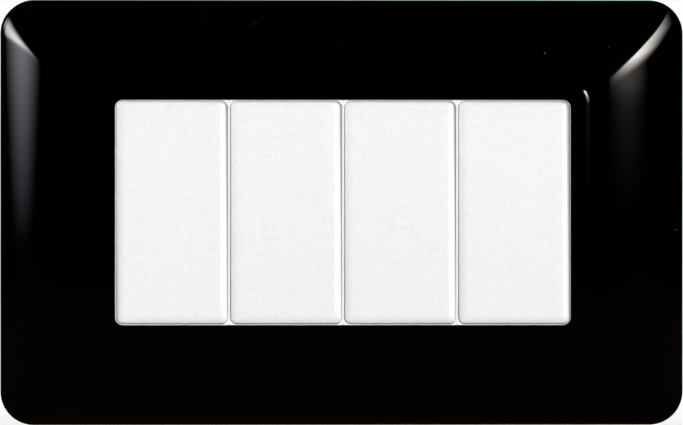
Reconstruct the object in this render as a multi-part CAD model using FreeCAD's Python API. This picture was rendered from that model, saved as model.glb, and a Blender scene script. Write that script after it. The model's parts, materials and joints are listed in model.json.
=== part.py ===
"""Four-module switch plate for a rectangular wall box: a black cover plate, its support frame and
four one-way rocker switch modules with their snap mechanism and screw terminals.

Frame: millimetres, X to the right, Y into the wall, Z up. The wall is the plane Y = 0 and the origin
is the middle of the plate on that plane, so the switches face -Y.
"""
import FreeCAD
import Part
import math
import os

V = FreeCAD.Vector
X_AXIS = V(1, 0, 0)
Y_AXIS = V(0, 1, 0)
Z_AXIS = V(0, 0, 1)
ORIGIN = V(0, 0, 0)

# The row of modules
MODULE_COUNT = 4
MODULE_PITCH = 22.5
MODULE_GAP = 0.06
MODULE_HEIGHT = 44.5

# Cover plate
PLATE_SIDE_MARGIN = 22.53
PLATE_END_MARGIN = 19.75
PLATE_WALL = 2.0
PLATE_CORNER = 6.7
CROWN_CORNER = 2.0
CROWN_RUN = 15.0
CROWN_STEPS = 6
EDGE_STRAIGHT = 2.4
EDGE_ROUND = 0.5
RING_WIDTH = 3.1
RING_RISE = 0.5
RING_CORNER = 4.0
RING_EDGE_ROUND = 0.35
LIP_THICKNESS = 0.35
LIP_GAP = 0.05
LIP_CORNER = 1.65
LIP_EDGE_ROUND = 0.12
COLLAR_GAP = 0.3
COLLAR_WALL = 1.4
COLLAR_CORNER = 0.4
COLLAR_TO_RAIL = 0.4
PLATE_RIB = 1.2

# Clips that hold the cover plate on the frame
CLIP_INSET = 5.0
CLIP_WIDTH = 8.0
CLIP_THICKNESS = 1.4
CLIP_GAP = 0.2
CLIP_BARB = 0.7
CLIP_TIP = 1.2

# Support frame
FRAME_CLEAR = 0.5
FRAME_DEPTH = 3.0
FRAME_WEB = 1.8
FRAME_RIB = 1.4
FRAME_RAIL = 4.0
FRAME_GAP = 0.2
TOOTH_LENGTH = 1.5
BOX_SCREW_MARGIN = 9.03
BOX_SCREW_SLOT_WIDTH = 4.2
BOX_SCREW_SLOT_LENGTH = 7.2
BOX_SCREW_BOSS = 2.2

# Rocker key
KEY_TILT = 1.4
KEY_BEHIND_RIM = 0.1
KEY_SHELL = 1.3
KEY_WALL = 0.95
KEY_SKIRT = 3.7
KEY_CORNER = 1.1
KEY_EDGE_ROUND = 1.0
KEY_SIDE_GAP = 0.23
KEY_RUNNING_GAP = 0.1
KEY_UNDER_GAP = 0.2
KEY_RIB = 1.2
KEY_RIB_DEPTH = 1.5
PIN_RADIUS = 0.9
PIN_LENGTH = 1.1
PIN_GAP = 0.05
LOBE_WALL = 0.6
LOBE_GAP = 0.3
EAR_THICKNESS = 1.1
EAR_GAP = 0.2

# Spring and plunger in the key's tower
TOWER_WALL = 1.0
BORE_RADIUS = 2.0
BORE_ROOF = 1.0
PLUNGER_GAP = 0.1
PLUNGER_BODY = 3.1
PLUNGER_STEM = 3.0
STEM_GAP = 0.3
NOSE_RADIUS = 1.5
NOSE_TAPER = 0.9
NOSE_OUT = 2.8
NOSE_REACH = 11.2
NOSE_CLEARANCE = 0.2
SPRING_WIRE = 0.5
SPRING_BORE_GAP = 0.3
SPRING_TURNS = 4.0
SPRING_SEAT_GAP = 0.05

# Contact lever on its fulcrum
LEVER_TILT = 6.0
LEVER_THICKNESS = 1.0
LEVER_WIDTH = 5.0
LEVER_END = 0.6
LEVER_END_FLAT = 0.5
TRUNNION_RADIUS = 0.9
TRUNNION_GAP = 0.05
FULCRUM_GAP = 0.4
FULCRUM_EAR = 1.0
FULCRUM_WALL = 0.85
PIP_Z = 7.0
PIP_RADIUS = 1.6
PIP_HEIGHT = 0.8
PIP_DOME = 0.3
CONTACT_GAP = 0.07
STOP_Z = 7.0
STOP_WIDTH = 4.0
STOP_LENGTH = 1.6
STOP_GAP = 0.1

# Terminals
STRIP_BEHIND_LEVER = 3.2
STRIP_THICKNESS = 0.8
STRIP_WINDOW_GAP = 0.3
PAD_LENGTH = 7.0
PAD_LEDGE = 0.8
PAD_GAP = 0.1
SCREW_RADIUS = 1.7
SCREW_HOLE_GAP = 0.1
SCREW_TIP = 0.9
SCREW_HEAD_RADIUS = 2.9
SCREW_HEAD = 2.2
SCREW_HEAD_CHAMFER = 0.4
SCREW_SLOT = 0.8
SCREW_SLOT_DEPTH = 1.1
CLAMP_THICKNESS = 1.2
CLAMP_LENGTH = 6.4
CLAMP_CORNER = 1.0
CLAMP_GAP = 0.05
WIRE_SPACE = 3.0
WIRE_WEB = 0.8
WIRE_FLARE = 0.5

# Module front body and base
RIM_LIP = 0.2
RIM_CORNER = 0.25
RIM_BEVEL = 0.08
RIM_BEHIND_LIP = 0.15
SHELF_THICKNESS = 1.0
SHOULDER_X = 0.62
SHOULDER_Z = 1.55
NECK_WALL = 1.0
NECK_SPARE = 0.55
EAR_PAD_GAP = 0.5
HOOK_INSET = 3.6
HOOK_WIDTH = 3.5
HOOK_REACH = 0.9
HOOK_GAP = 0.15
HOOK_LENGTH = 2.3
SPIGOT_LENGTH = 1.5
SPIGOT_GAP = 0.1
SPIGOT_WALL = 0.9
BASE_FLOOR = 1.6
BASE_CORNER = 0.8
BASE_CHAMFER = 0.6
BASE_BACK_WALL = 2.75
CHAMBER_LEDGE = 2.8
CHAMBER_GAP = 0.3
BLOCK_WALL = 1.2
ACCESS_GAP = 0.4
RECESS_WALL = 1.4
TONGUE_WIDTH = 8.0
TONGUE_LENGTH = 5.5
TONGUE_GAP = 0.1
LATCH_WIDTH = 3.6
LATCH_FROM = 2.6
LATCH_LENGTH = 1.3
LATCH_HEIGHT = 0.8
LATCH_GAP = 0.2

# Widths and heights that follow from the sizes above
MODULE_WIDTH = MODULE_PITCH - MODULE_GAP
ROW_WIDTH = MODULE_COUNT * MODULE_PITCH - MODULE_GAP
PLATE_WIDTH = ROW_WIDTH + 2 * PLATE_SIDE_MARGIN
PLATE_HEIGHT = MODULE_HEIGHT + 2 * PLATE_END_MARGIN
BOX_SCREW_SPACING = ROW_WIDTH + 2 * BOX_SCREW_MARGIN
NECK_WIDTH = MODULE_WIDTH - 2 * SHOULDER_X
NECK_HEIGHT = MODULE_HEIGHT - 2 * SHOULDER_Z
NECK_INSIDE_X = NECK_WIDTH / 2 - NECK_WALL
NECK_INSIDE_Z = NECK_HEIGHT / 2 - NECK_WALL
OPENING_X = (ROW_WIDTH - MODULE_WIDTH + NECK_WIDTH) / 2 + FRAME_GAP
OPENING_Z = NECK_HEIGHT / 2 + FRAME_GAP
POCKET_X = NECK_INSIDE_X - SPIGOT_GAP - SPIGOT_WALL
RECESS_Z = NECK_INSIDE_Z - TONGUE_GAP
POCKET_Z = RECESS_Z - RECESS_WALL
CHAMBER_X = POCKET_X - CHAMBER_LEDGE
TERMINAL_Z = POCKET_Z - PAD_GAP - PAD_LENGTH / 2
CHAMBER_Z = TERMINAL_Z - CLAMP_LENGTH / 2 - CHAMBER_GAP
LOBE_RADIUS = PIN_RADIUS + LOBE_WALL
TILT = math.radians(KEY_TILT)
PIVOT_BEHIND_FACE = KEY_SHELL + LOBE_GAP + LOBE_RADIUS
KEY_END_GAP = KEY_RUNNING_GAP + (PIVOT_BEHIND_FACE - KEY_EDGE_ROUND) * math.sin(TILT)
KEY_WIDTH = MODULE_WIDTH - 2 * (RIM_LIP + KEY_SIDE_GAP)
KEY_HEIGHT = MODULE_HEIGHT - 2 * (RIM_LIP + KEY_END_GAP)
KEY_INSIDE = KEY_WIDTH / 2 - KEY_WALL
EAR_OUT = KEY_INSIDE - EAR_GAP
EAR_IN = EAR_OUT - EAR_THICKNESS
FULCRUM_IN = LEVER_WIDTH / 2 + FULCRUM_GAP
FULCRUM_OUT = FULCRUM_IN + FULCRUM_EAR
FULCRUM_RADIUS = TRUNNION_RADIUS + TRUNNION_GAP + FULCRUM_WALL

# Levels along Y that follow from the sizes above
RAIL_FRONT = -FRAME_DEPTH
SHELF_Y = RAIL_FRONT - SHELF_THICKNESS
KEY_REACH = max(KEY_SKIRT + KEY_HEIGHT / 2 * math.sin(TILT), PIVOT_BEHIND_FACE + LOBE_RADIUS)
KEY_FACE = SHELF_Y - KEY_UNDER_GAP - KEY_REACH
KEY_UNDERSIDE = KEY_FACE + KEY_SHELL
SKIRT_BACK = KEY_FACE + KEY_SKIRT
PIVOT_Y = KEY_FACE + PIVOT_BEHIND_FACE
RIM_FRONT = KEY_FACE - KEY_BEHIND_RIM
LIP_BACK = RIM_FRONT - RIM_BEHIND_LIP
RING_FRONT = LIP_BACK - LIP_THICKNESS
PLATE_FRONT = RING_FRONT + RING_RISE
COLLAR_BACK = RAIL_FRONT - COLLAR_TO_RAIL
NECK_BACK = HOOK_GAP + HOOK_LENGTH + NECK_SPARE
BORE_END = KEY_UNDERSIDE + BORE_ROOF
NOSE_Y = PIVOT_Y + NOSE_REACH
TOWER_BACK = NOSE_Y - NOSE_OUT
SHOULDER_Y = NOSE_Y - NOSE_RADIUS - NOSE_TAPER - PLUNGER_BODY
LEVER_FRONT = NOSE_Y + NOSE_CLEARANCE
LEVER_AXIS = LEVER_FRONT + TRUNNION_RADIUS
LEVER_BACK = LEVER_FRONT + LEVER_THICKNESS
STRIP_FRONT = LEVER_BACK + STRIP_BEHIND_LEVER
STRIP_BACK = STRIP_FRONT + STRIP_THICKNESS
CLAMP_FRONT = STRIP_BACK + WIRE_SPACE
CLAMP_BACK = CLAMP_FRONT + CLAMP_THICKNESS
HEAD_FRONT = CLAMP_BACK + CLAMP_GAP
HEAD_BACK = HEAD_FRONT + SCREW_HEAD
CHAMBER_BACK = HEAD_BACK + CHAMBER_GAP
BASE_BACK = CHAMBER_BACK + BASE_BACK_WALL

# The crown's arc, and the frame that fills the plate up to it
CROWN_RISE = -PLATE_FRONT - EDGE_STRAIGHT
CROWN_RADIUS = (CROWN_RUN**2 + CROWN_RISE**2) / (2 * CROWN_RISE)
FRAME_DROP = RAIL_FRONT - FRAME_CLEAR - PLATE_WALL - PLATE_FRONT
FRAME_INSET = PLATE_WALL + CROWN_RUN - math.sqrt(CROWN_RADIUS**2 - (CROWN_RADIUS - FRAME_DROP) ** 2)
FRAME_X = PLATE_WIDTH / 2 - FRAME_INSET
FRAME_Z = PLATE_HEIGHT / 2 - FRAME_INSET
CLIP_X = ROW_WIDTH / 2 - CLIP_INSET
CLIP_Z = (OPENING_Z + FRAME_RAIL + FRAME_Z - FRAME_RIB) / 2


def slab(x0, x1, y0, y1, z0, z1):
    """Box between two corners."""
    return Part.makeBox(x1 - x0, y1 - y0, z1 - z0, V(x0, y0, z0))


def centred_slab(half_x, half_z, y0, y1, z=0.0):
    """Box centred on X = 0 and on the given height."""
    return slab(-half_x, half_x, y0, y1, z - half_z, z + half_z)


def rod_y(radius, y0, y1, x=0.0, z=0.0):
    """Round bar along Y."""
    return Part.makeCylinder(radius, y1 - y0, V(x, y0, z), Y_AXIS)


def rod_x(radius, x0, x1, y):
    """Round bar along X at mid-height, between two places in either order."""
    return Part.makeCylinder(radius, abs(x1 - x0), V(min(x0, x1), y, 0), X_AXIS)


def rounded_outline(half_x, half_z, radius, y):
    """Closed rectangle with round corners in the plane at depth y."""
    arcs = []
    for side_x, side_z, start in ((1, 1, 0), (-1, 1, 90), (-1, -1, 180), (1, -1, 270)):
        centre = V(side_x * (half_x - radius), y, side_z * (half_z - radius))
        angles = [math.radians(start + turn) for turn in (0, 45, 90)]
        arcs.append([centre + V(math.cos(a), 0, math.sin(a)) * radius for a in angles])
    edges = []
    for number, points in enumerate(arcs):
        following = arcs[(number + 1) % len(arcs)]
        edges += [Part.Arc(*points).toShape(), Part.makeLine(points[-1], following[0])]
    return Part.Wire(edges)


def rounded_block(half_x, half_z, radius, y0, y1):
    """Block with round corners from depth y0 to depth y1."""
    return Part.Face(rounded_outline(half_x, half_z, radius, y0)).extrude(V(0, y1 - y0, 0))


def rectangle(x0, x1, y0, y1, z):
    """Closed rectangle in the plane at height z."""
    corners = [V(x0, y0, z), V(x1, y0, z), V(x1, y1, z), V(x0, y1, z)]
    return Part.makePolygon(corners + corners[:1])


def wedge(profile, x0, x1):
    """Prism along X whose section is a list of (y, z) corners."""
    points = [V(x0, y, z) for y, z in profile]
    return Part.Face(Part.makePolygon(points + points[:1])).extrude(V(x1 - x0, 0, 0))


def turned(edges):
    """Solid of revolution about the Y axis from the edges of half a section."""
    return Part.Face(Part.Wire(edges)).revolve(ORIGIN, Y_AXIS, 360)


def edges_at_depth(solid, y):
    """Edges that lie in the plane at depth y."""
    near = 1e-4
    return [e for e in solid.Edges if abs(e.BoundBox.YMin - y) < near and abs(e.BoundBox.YMax - y) < near]


def edges_within(solid, y, half_x, half_z):
    """Edges in the plane at depth y that lie inside a centred rectangle."""
    spare = 1e-4
    boxes = [(e, e.BoundBox) for e in edges_at_depth(solid, y)]
    boxes = [(e, b) for e, b in boxes if max(b.XMax, -b.XMin) < half_x + spare]
    return [e for e, b in boxes if max(b.ZMax, -b.ZMin) < half_z + spare]


def fused(first, *others):
    """One solid from several, with the seams between flush faces removed."""
    return first.multiFuse(list(others)).removeSplitter()


def above_and_below(solid):
    """A solid and its mirror image across the middle height."""
    return [solid, solid.mirror(ORIGIN, Z_AXIS)]


def left_and_right(solid):
    """A solid and its mirror image across X = 0."""
    return [solid, solid.mirror(ORIGIN, X_AXIS)]


# Cover plate


def crown_corner(inset):
    """Corner radius of the crown's outline at a distance inside the plate's edge."""
    return PLATE_CORNER + (CROWN_CORNER - PLATE_CORNER) * inset / (CROWN_RUN + PLATE_WALL)


def crown(inset):
    """Pillow-shaped front of the plate: round-cornered outlines that close in along one circular arc.

    The inset moves it inwards and backwards, for the inside of the wall.
    """
    steepest = math.asin(CROWN_RUN / CROWN_RADIUS)
    outlines = []
    for step in range(CROWN_STEPS + 1):
        slope = steepest * (1 - step / CROWN_STEPS)
        run = inset + CROWN_RUN - CROWN_RADIUS * math.sin(slope)
        depth = inset + PLATE_FRONT + CROWN_RADIUS * (1 - math.cos(slope))
        outlines.append(rounded_outline(PLATE_WIDTH / 2 - run, PLATE_HEIGHT / 2 - run, crown_corner(run), depth))
    return Part.makeLoft(outlines, True, False)


def plate_clip():
    """Springy tongue behind the plate with a barb that catches behind the frame."""
    root = PLATE_FRONT + PLATE_WALL / 2
    inner = CLIP_Z - CLIP_THICKNESS / 2
    outer = CLIP_Z + CLIP_THICKNESS / 2
    tip = CLIP_GAP + CLIP_TIP
    barb = [(tip, outer), (CLIP_GAP, outer + CLIP_BARB), (CLIP_GAP, outer)]
    profile = [(root, inner), (tip, inner)] + barb + [(root, outer)]
    return wedge(profile, CLIP_X - CLIP_WIDTH / 2, CLIP_X + CLIP_WIDTH / 2)


def plate_rib(x, window_z, outside):
    """Stiffening rib between the window's collar and the upper edge, trimmed to the plate's outside."""
    top = PLATE_HEIGHT / 2 - PLATE_WALL / 2
    rib = slab(x - PLATE_RIB / 2, x + PLATE_RIB / 2, PLATE_FRONT, COLLAR_BACK, window_z, top)
    return rib.common(outside)


def window_ring(window_x, window_z):
    """Raised ring round the window, with a lip that overhangs the modules' corners."""
    back = PLATE_FRONT + PLATE_WALL / 2
    ring = rounded_block(window_x + RING_WIDTH, window_z + RING_WIDTH, RING_CORNER, RING_FRONT, back)
    ring = ring.makeFillet(RING_EDGE_ROUND, edges_at_depth(ring, RING_FRONT))
    lip_x = ROW_WIDTH / 2 + LIP_GAP
    lip_z = MODULE_HEIGHT / 2 + LIP_GAP
    ring = ring.cut(rounded_block(lip_x, lip_z, LIP_CORNER, RING_FRONT, back))
    return ring.makeFillet(LIP_EDGE_ROUND, edges_within(ring, RING_FRONT, lip_x, lip_z))


def cover_plate():
    """Black moulded plate: pillowed shell, raised ring round the window, collar, ribs and clips."""
    window_x = ROW_WIDTH / 2 + COLLAR_GAP
    window_z = MODULE_HEIGHT / 2 + COLLAR_GAP
    edge = rounded_block(PLATE_WIDTH / 2, PLATE_HEIGHT / 2, PLATE_CORNER, -EDGE_STRAIGHT, 0)
    outside = edge.fuse(crown(0))
    outside = outside.makeFillet(EDGE_ROUND, edges_at_depth(outside, -EDGE_STRAIGHT))
    inner_x = PLATE_WIDTH / 2 - PLATE_WALL
    inner_z = PLATE_HEIGHT / 2 - PLATE_WALL
    inner_edge = rounded_block(inner_x, inner_z, crown_corner(PLATE_WALL), PLATE_WALL - EDGE_STRAIGHT, PLATE_WALL)
    shell = outside.cut([crown(PLATE_WALL), inner_edge])

    collar_x = window_x + COLLAR_WALL
    collar_z = window_z + COLLAR_WALL
    collar = rounded_block(collar_x, collar_z, COLLAR_CORNER + COLLAR_WALL, PLATE_FRONT, COLLAR_BACK)
    ribs = []
    for seam in range(1, MODULE_COUNT):
        x = (seam - MODULE_COUNT / 2) * MODULE_PITCH
        ribs += above_and_below(plate_rib(x, window_z, outside))
    clips = []
    for clip in above_and_below(plate_clip()):
        clips += left_and_right(clip)
    shell = fused(shell, collar, *ribs, *clips)
    shell = shell.cut(rounded_block(window_x, window_z, COLLAR_CORNER, PLATE_FRONT, COLLAR_BACK))
    ring = window_ring(window_x, window_z)
    ring = ring.cut(rounded_block(window_x, window_z, COLLAR_CORNER, LIP_BACK, COLLAR_BACK))
    return fused(shell, ring)


# Support frame


def slot(x, length, width, y0, y1):
    """Round-ended bar along X, at mid-height."""
    half = (length - width) / 2
    middle = slab(x - half, x + half, y0, y1, -width / 2, width / 2)
    return fused(middle, rod_y(width / 2, y0, y1, x - half), rod_y(width / 2, y0, y1, x + half))


def support_frame():
    """Frame that the modules snap into: web, outer rib, rails, teeth between modules, box screw slots."""
    corner = crown_corner(FRAME_INSET)
    outer = rounded_block(FRAME_X, FRAME_Z, corner, RAIL_FRONT, 0)
    tray = rounded_block(FRAME_X - FRAME_RIB, FRAME_Z - FRAME_RIB, corner - FRAME_RIB, RAIL_FRONT, -FRAME_WEB)
    rails = centred_slab(OPENING_X + FRAME_RAIL, OPENING_Z + FRAME_RAIL, RAIL_FRONT, 0)
    bosses = []
    slots = []
    for x in (-BOX_SCREW_SPACING / 2, BOX_SCREW_SPACING / 2):
        boss_length = BOX_SCREW_SLOT_LENGTH + 2 * BOX_SCREW_BOSS
        boss_width = BOX_SCREW_SLOT_WIDTH + 2 * BOX_SCREW_BOSS
        boss = slot(x, boss_length, boss_width, (RAIL_FRONT - FRAME_WEB) / 2, 0)
        bosses.append(boss.common(outer))
        slots.append(slot(x, BOX_SCREW_SLOT_LENGTH, BOX_SCREW_SLOT_WIDTH, RAIL_FRONT, 0))
    opening = centred_slab(OPENING_X, OPENING_Z, RAIL_FRONT, 0)

    clip_hole = slab(
        CLIP_X - CLIP_WIDTH / 2 - CLIP_GAP,
        CLIP_X + CLIP_WIDTH / 2 + CLIP_GAP,
        RAIL_FRONT,
        0,
        CLIP_Z - CLIP_THICKNESS / 2 - CLIP_GAP,
        CLIP_Z + CLIP_THICKNESS / 2 + CLIP_GAP,
    )
    clip_holes = []
    for hole in above_and_below(clip_hole):
        clip_holes += left_and_right(hole)

    tooth_half = (MODULE_PITCH - NECK_WIDTH) / 2 - FRAME_GAP
    teeth = []
    for seam in range(1, MODULE_COUNT):
        x = (seam - MODULE_COUNT / 2) * MODULE_PITCH
        root = OPENING_Z + FRAME_RAIL / 2
        tooth = slab(x - tooth_half, x + tooth_half, RAIL_FRONT, 0, OPENING_Z - TOOTH_LENGTH, root)
        teeth += above_and_below(tooth)

    frame = fused(outer.cut(tray), rails, *bosses)
    frame = frame.cut(slots + clip_holes + [opening])
    return fused(frame, *teeth)


# Rocker key with its spring and plunger, at mid-travel


def at_key_rest(solid):
    """A key's part turned from mid-travel to rest, with the top pressed in."""
    return solid.rotate(V(0, PIVOT_Y, 0), X_AXIS, -KEY_TILT)


def rocker_key():
    """White key: soft-edged cap with side walls, pivot pins, spring tower and stiffening ribs."""
    half_x = KEY_WIDTH / 2
    half_z = KEY_HEIGHT / 2
    cap = rounded_block(half_x, half_z, KEY_CORNER, KEY_FACE, SKIRT_BACK)
    cap = cap.makeFillet(KEY_EDGE_ROUND, edges_at_depth(cap, KEY_FACE))
    cap = cap.cut(rounded_block(KEY_INSIDE, half_z - KEY_WALL, KEY_CORNER / 2, KEY_UNDERSIDE, SKIRT_BACK))
    tower = rod_y(BORE_RADIUS + TOWER_WALL, KEY_UNDERSIDE, TOWER_BACK)
    rib_back = KEY_UNDERSIDE + KEY_RIB_DEPTH
    rib = slab(-KEY_RIB / 2, KEY_RIB / 2, KEY_UNDERSIDE, rib_back, 0, half_z - KEY_WALL)
    lobe = rod_x(LOBE_RADIUS, KEY_INSIDE, half_x, PIVOT_Y)
    pin = rod_x(PIN_RADIUS, KEY_INSIDE - PIN_LENGTH, half_x, PIVOT_Y)
    key = fused(cap, tower, *above_and_below(rib), *left_and_right(lobe), *left_and_right(pin))
    return key.cut(rod_y(BORE_RADIUS, BORE_END, TOWER_BACK))


def coil_radius():
    """Radius of the spring at the middle of its wire."""
    return BORE_RADIUS - SPRING_BORE_GAP - SPRING_WIRE / 2


def plunger():
    """Round-nosed plunger that the spring pushes against the contact lever."""
    body_radius = BORE_RADIUS - PLUNGER_GAP
    stem_radius = coil_radius() - SPRING_WIRE / 2 - STEM_GAP
    stem_front = SHOULDER_Y - PLUNGER_STEM
    nose_centre = NOSE_Y - NOSE_RADIUS
    half_way = NOSE_RADIUS * math.sin(math.pi / 4)
    tip = V(0, NOSE_Y, 0)
    corners = [
        V(0, stem_front, 0),
        V(stem_radius, stem_front, 0),
        V(stem_radius, SHOULDER_Y, 0),
        V(body_radius, SHOULDER_Y, 0),
        V(body_radius, nose_centre - NOSE_TAPER, 0),
        V(NOSE_RADIUS, nose_centre, 0),
    ]
    edges = [Part.makeLine(a, b) for a, b in zip(corners, corners[1:])]
    nose = Part.Arc(corners[-1], V(half_way, nose_centre + half_way, 0), tip).toShape()
    return turned(edges + [nose, Part.makeLine(tip, corners[0])])


def spring():
    """Compression spring between the end of the key's bore and the plunger's shoulder."""
    wire_radius = SPRING_WIRE / 2
    front = BORE_END + SPRING_SEAT_GAP + wire_radius
    back = SHOULDER_Y - SPRING_SEAT_GAP - wire_radius
    path = Part.makeHelix((back - front) / SPRING_TURNS, back - front, coil_radius())
    sides = 6
    corners = []
    for number in range(sides):
        angle = 2 * math.pi * number / sides
        corners.append(V(coil_radius() + wire_radius * math.cos(angle), 0, wire_radius * math.sin(angle)))
    section = Part.makePolygon(corners + corners[:1])
    coil = Part.Wire(path.Edges).makePipeShell([section], True, True)
    coil.rotate(ORIGIN, X_AXIS, -90)
    return coil.translate(V(0, front, 0))


# Contact lever and terminals


def at_lever_rest(solid):
    """A lever's part turned from mid-travel to rest, with the contact open."""
    return solid.rotate(V(0, LEVER_AXIS, 0), X_AXIS, LEVER_TILT)


def contact_lever():
    """Brass see-saw with round ends and trunnions on both sides."""
    top = PIP_Z + PIP_RADIUS + LEVER_END
    bottom = STOP_Z + STOP_LENGTH / 2 + LEVER_END
    end_radius = (LEVER_WIDTH - LEVER_END_FLAT) / 2
    blade = rounded_block(LEVER_WIDTH / 2, (top + bottom) / 2, end_radius, LEVER_FRONT, LEVER_BACK)
    blade.translate(V(0, 0, (top - bottom) / 2))
    return fused(blade, rod_x(TRUNNION_RADIUS, -FULCRUM_OUT, FULCRUM_OUT, LEVER_AXIS))


def contact_pip(foot_y, crest_y, z):
    """Domed contact rivet that stands on a flat face and points along Y."""
    direction = math.copysign(1, crest_y - foot_y)
    dome_radius = (PIP_RADIUS**2 + PIP_DOME**2) / (2 * PIP_DOME)
    half_turn = math.asin(PIP_RADIUS / dome_radius) / 2
    drop = dome_radius * (1 - math.cos(half_turn))
    foot = V(PIP_RADIUS, foot_y, 0)
    rim = V(PIP_RADIUS, crest_y - direction * PIP_DOME, 0)
    bend = V(dome_radius * math.sin(half_turn), crest_y - direction * drop, 0)
    crest = V(0, crest_y, 0)
    middle = V(0, foot_y, 0)
    edges = [Part.makeLine(middle, foot), Part.makeLine(foot, rim), Part.Arc(rim, bend, crest).toShape()]
    return turned(edges + [Part.makeLine(crest, middle)]).translate(V(0, 0, z))


def lever_contact():
    """Silver contact on the back of the lever's upper arm."""
    return contact_pip(LEVER_BACK, LEVER_BACK + PIP_HEIGHT, PIP_Z)


def closed_contact_place():
    """Depth and height that the crest of the lever's contact reaches when the switch is on."""
    swing = math.radians(LEVER_TILT)
    arm = LEVER_BACK + PIP_HEIGHT - LEVER_AXIS
    depth = LEVER_AXIS + arm * math.cos(swing) + PIP_Z * math.sin(swing)
    height = PIP_Z * math.cos(swing) - arm * math.sin(swing)
    return depth, height


def fixed_contact():
    """Silver contact on the switched terminal, facing the lever's contact."""
    depth, height = closed_contact_place()
    return contact_pip(STRIP_FRONT, depth + CONTACT_GAP, height)


def terminal_pad(z):
    """Wide end of a terminal strip with its screw hole."""
    pad = centred_slab(CHAMBER_X + PAD_LEDGE, PAD_LENGTH / 2, STRIP_FRONT, STRIP_BACK, z)
    return pad.cut(rod_y(SCREW_RADIUS + SCREW_HOLE_GAP, STRIP_FRONT, STRIP_BACK, z=z))


def common_terminal():
    """Brass strip from the lower terminal to the fulcrum ears that carry the lever."""
    bottom = -TERMINAL_Z + PAD_LENGTH / 2
    leg = slab(-FULCRUM_OUT, FULCRUM_OUT, STRIP_FRONT, STRIP_BACK, bottom, FULCRUM_RADIUS)
    window_x = STOP_WIDTH / 2 + STRIP_WINDOW_GAP
    window_z = STOP_LENGTH / 2 + STRIP_WINDOW_GAP
    leg = leg.cut(centred_slab(window_x, window_z, STRIP_FRONT, STRIP_BACK, -STOP_Z))
    post = slab(FULCRUM_IN, FULCRUM_OUT, LEVER_AXIS, STRIP_BACK, -FULCRUM_RADIUS, FULCRUM_RADIUS)
    ear = fused(post, rod_x(FULCRUM_RADIUS, FULCRUM_IN, FULCRUM_OUT, LEVER_AXIS))
    ear = ear.cut(rod_x(TRUNNION_RADIUS + TRUNNION_GAP, FULCRUM_IN, FULCRUM_OUT, LEVER_AXIS))
    return fused(terminal_pad(-TERMINAL_Z), leg, *left_and_right(ear))


def switched_terminal():
    """Brass strip from the upper terminal to the fixed contact."""
    foot = closed_contact_place()[1] - PIP_RADIUS
    top = TERMINAL_Z - PAD_LENGTH / 2
    leg = slab(-LEVER_WIDTH / 2, LEVER_WIDTH / 2, STRIP_FRONT, STRIP_BACK, foot, top)
    return fused(terminal_pad(TERMINAL_Z), leg)


def terminal_screw(z):
    """Slotted terminal screw with its head towards the back."""
    shank = rod_y(SCREW_RADIUS, STRIP_FRONT - SCREW_TIP, HEAD_BACK, z=z)
    head = rod_y(SCREW_HEAD_RADIUS, HEAD_FRONT, HEAD_BACK, z=z)
    head = head.makeChamfer(SCREW_HEAD_CHAMFER, edges_at_depth(head, HEAD_BACK))
    groove = centred_slab(SCREW_HEAD_RADIUS, SCREW_SLOT / 2, HEAD_BACK - SCREW_SLOT_DEPTH, HEAD_BACK, z)
    return fused(head, shank).cut(groove)


def clamp_plate(z):
    """Washer plate that presses two wires on the terminal strip."""
    plate = rounded_block(CHAMBER_X - CHAMBER_GAP, CLAMP_LENGTH / 2, CLAMP_CORNER, CLAMP_FRONT, CLAMP_BACK)
    plate.translate(V(0, 0, z))
    return plate.cut(rod_y(SCREW_RADIUS + SCREW_HOLE_GAP, CLAMP_FRONT, CLAMP_BACK, z=z))


# Module body


def hook(x):
    """Wedge on the neck that snaps behind the frame's upper rail."""
    root = NECK_HEIGHT / 2 - NECK_WALL / 2
    crest = NECK_HEIGHT / 2 + HOOK_REACH
    slope = [(HOOK_GAP + HOOK_REACH, crest), (HOOK_GAP + HOOK_LENGTH, root)]
    return wedge([(HOOK_GAP, root), (HOOK_GAP, crest)] + slope, x - HOOK_WIDTH / 2, x + HOOK_WIDTH / 2)


def latch_tongue():
    """Tongue behind the neck with the window that the base's latch snaps into."""
    front = NECK_BACK - SPIGOT_LENGTH
    back = NECK_BACK + TONGUE_LENGTH
    tongue = slab(-TONGUE_WIDTH / 2, TONGUE_WIDTH / 2, front, back, NECK_INSIDE_Z, NECK_HEIGHT / 2)
    half = LATCH_WIDTH / 2 + LATCH_GAP
    window_front = NECK_BACK + LATCH_FROM - LATCH_GAP
    window_back = NECK_BACK + LATCH_FROM + LATCH_LENGTH + LATCH_GAP
    return tongue.cut(slab(-half, half, window_front, window_back, NECK_INSIDE_Z, NECK_HEIGHT / 2))


def pivot_ear():
    """Ear inside the key's side wall that carries its pivot pin."""
    pad_back = NECK_BACK - SPIGOT_LENGTH - EAR_PAD_GAP
    stem = slab(EAR_IN, EAR_OUT, PIVOT_Y, SHELF_Y, -LOBE_RADIUS, LOBE_RADIUS)
    pad = slab(EAR_IN, NECK_WIDTH / 2, SHELF_Y, pad_back, -LOBE_RADIUS, LOBE_RADIUS)
    return fused(rod_x(LOBE_RADIUS, EAR_IN, EAR_OUT, PIVOT_Y), stem, pad)


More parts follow.
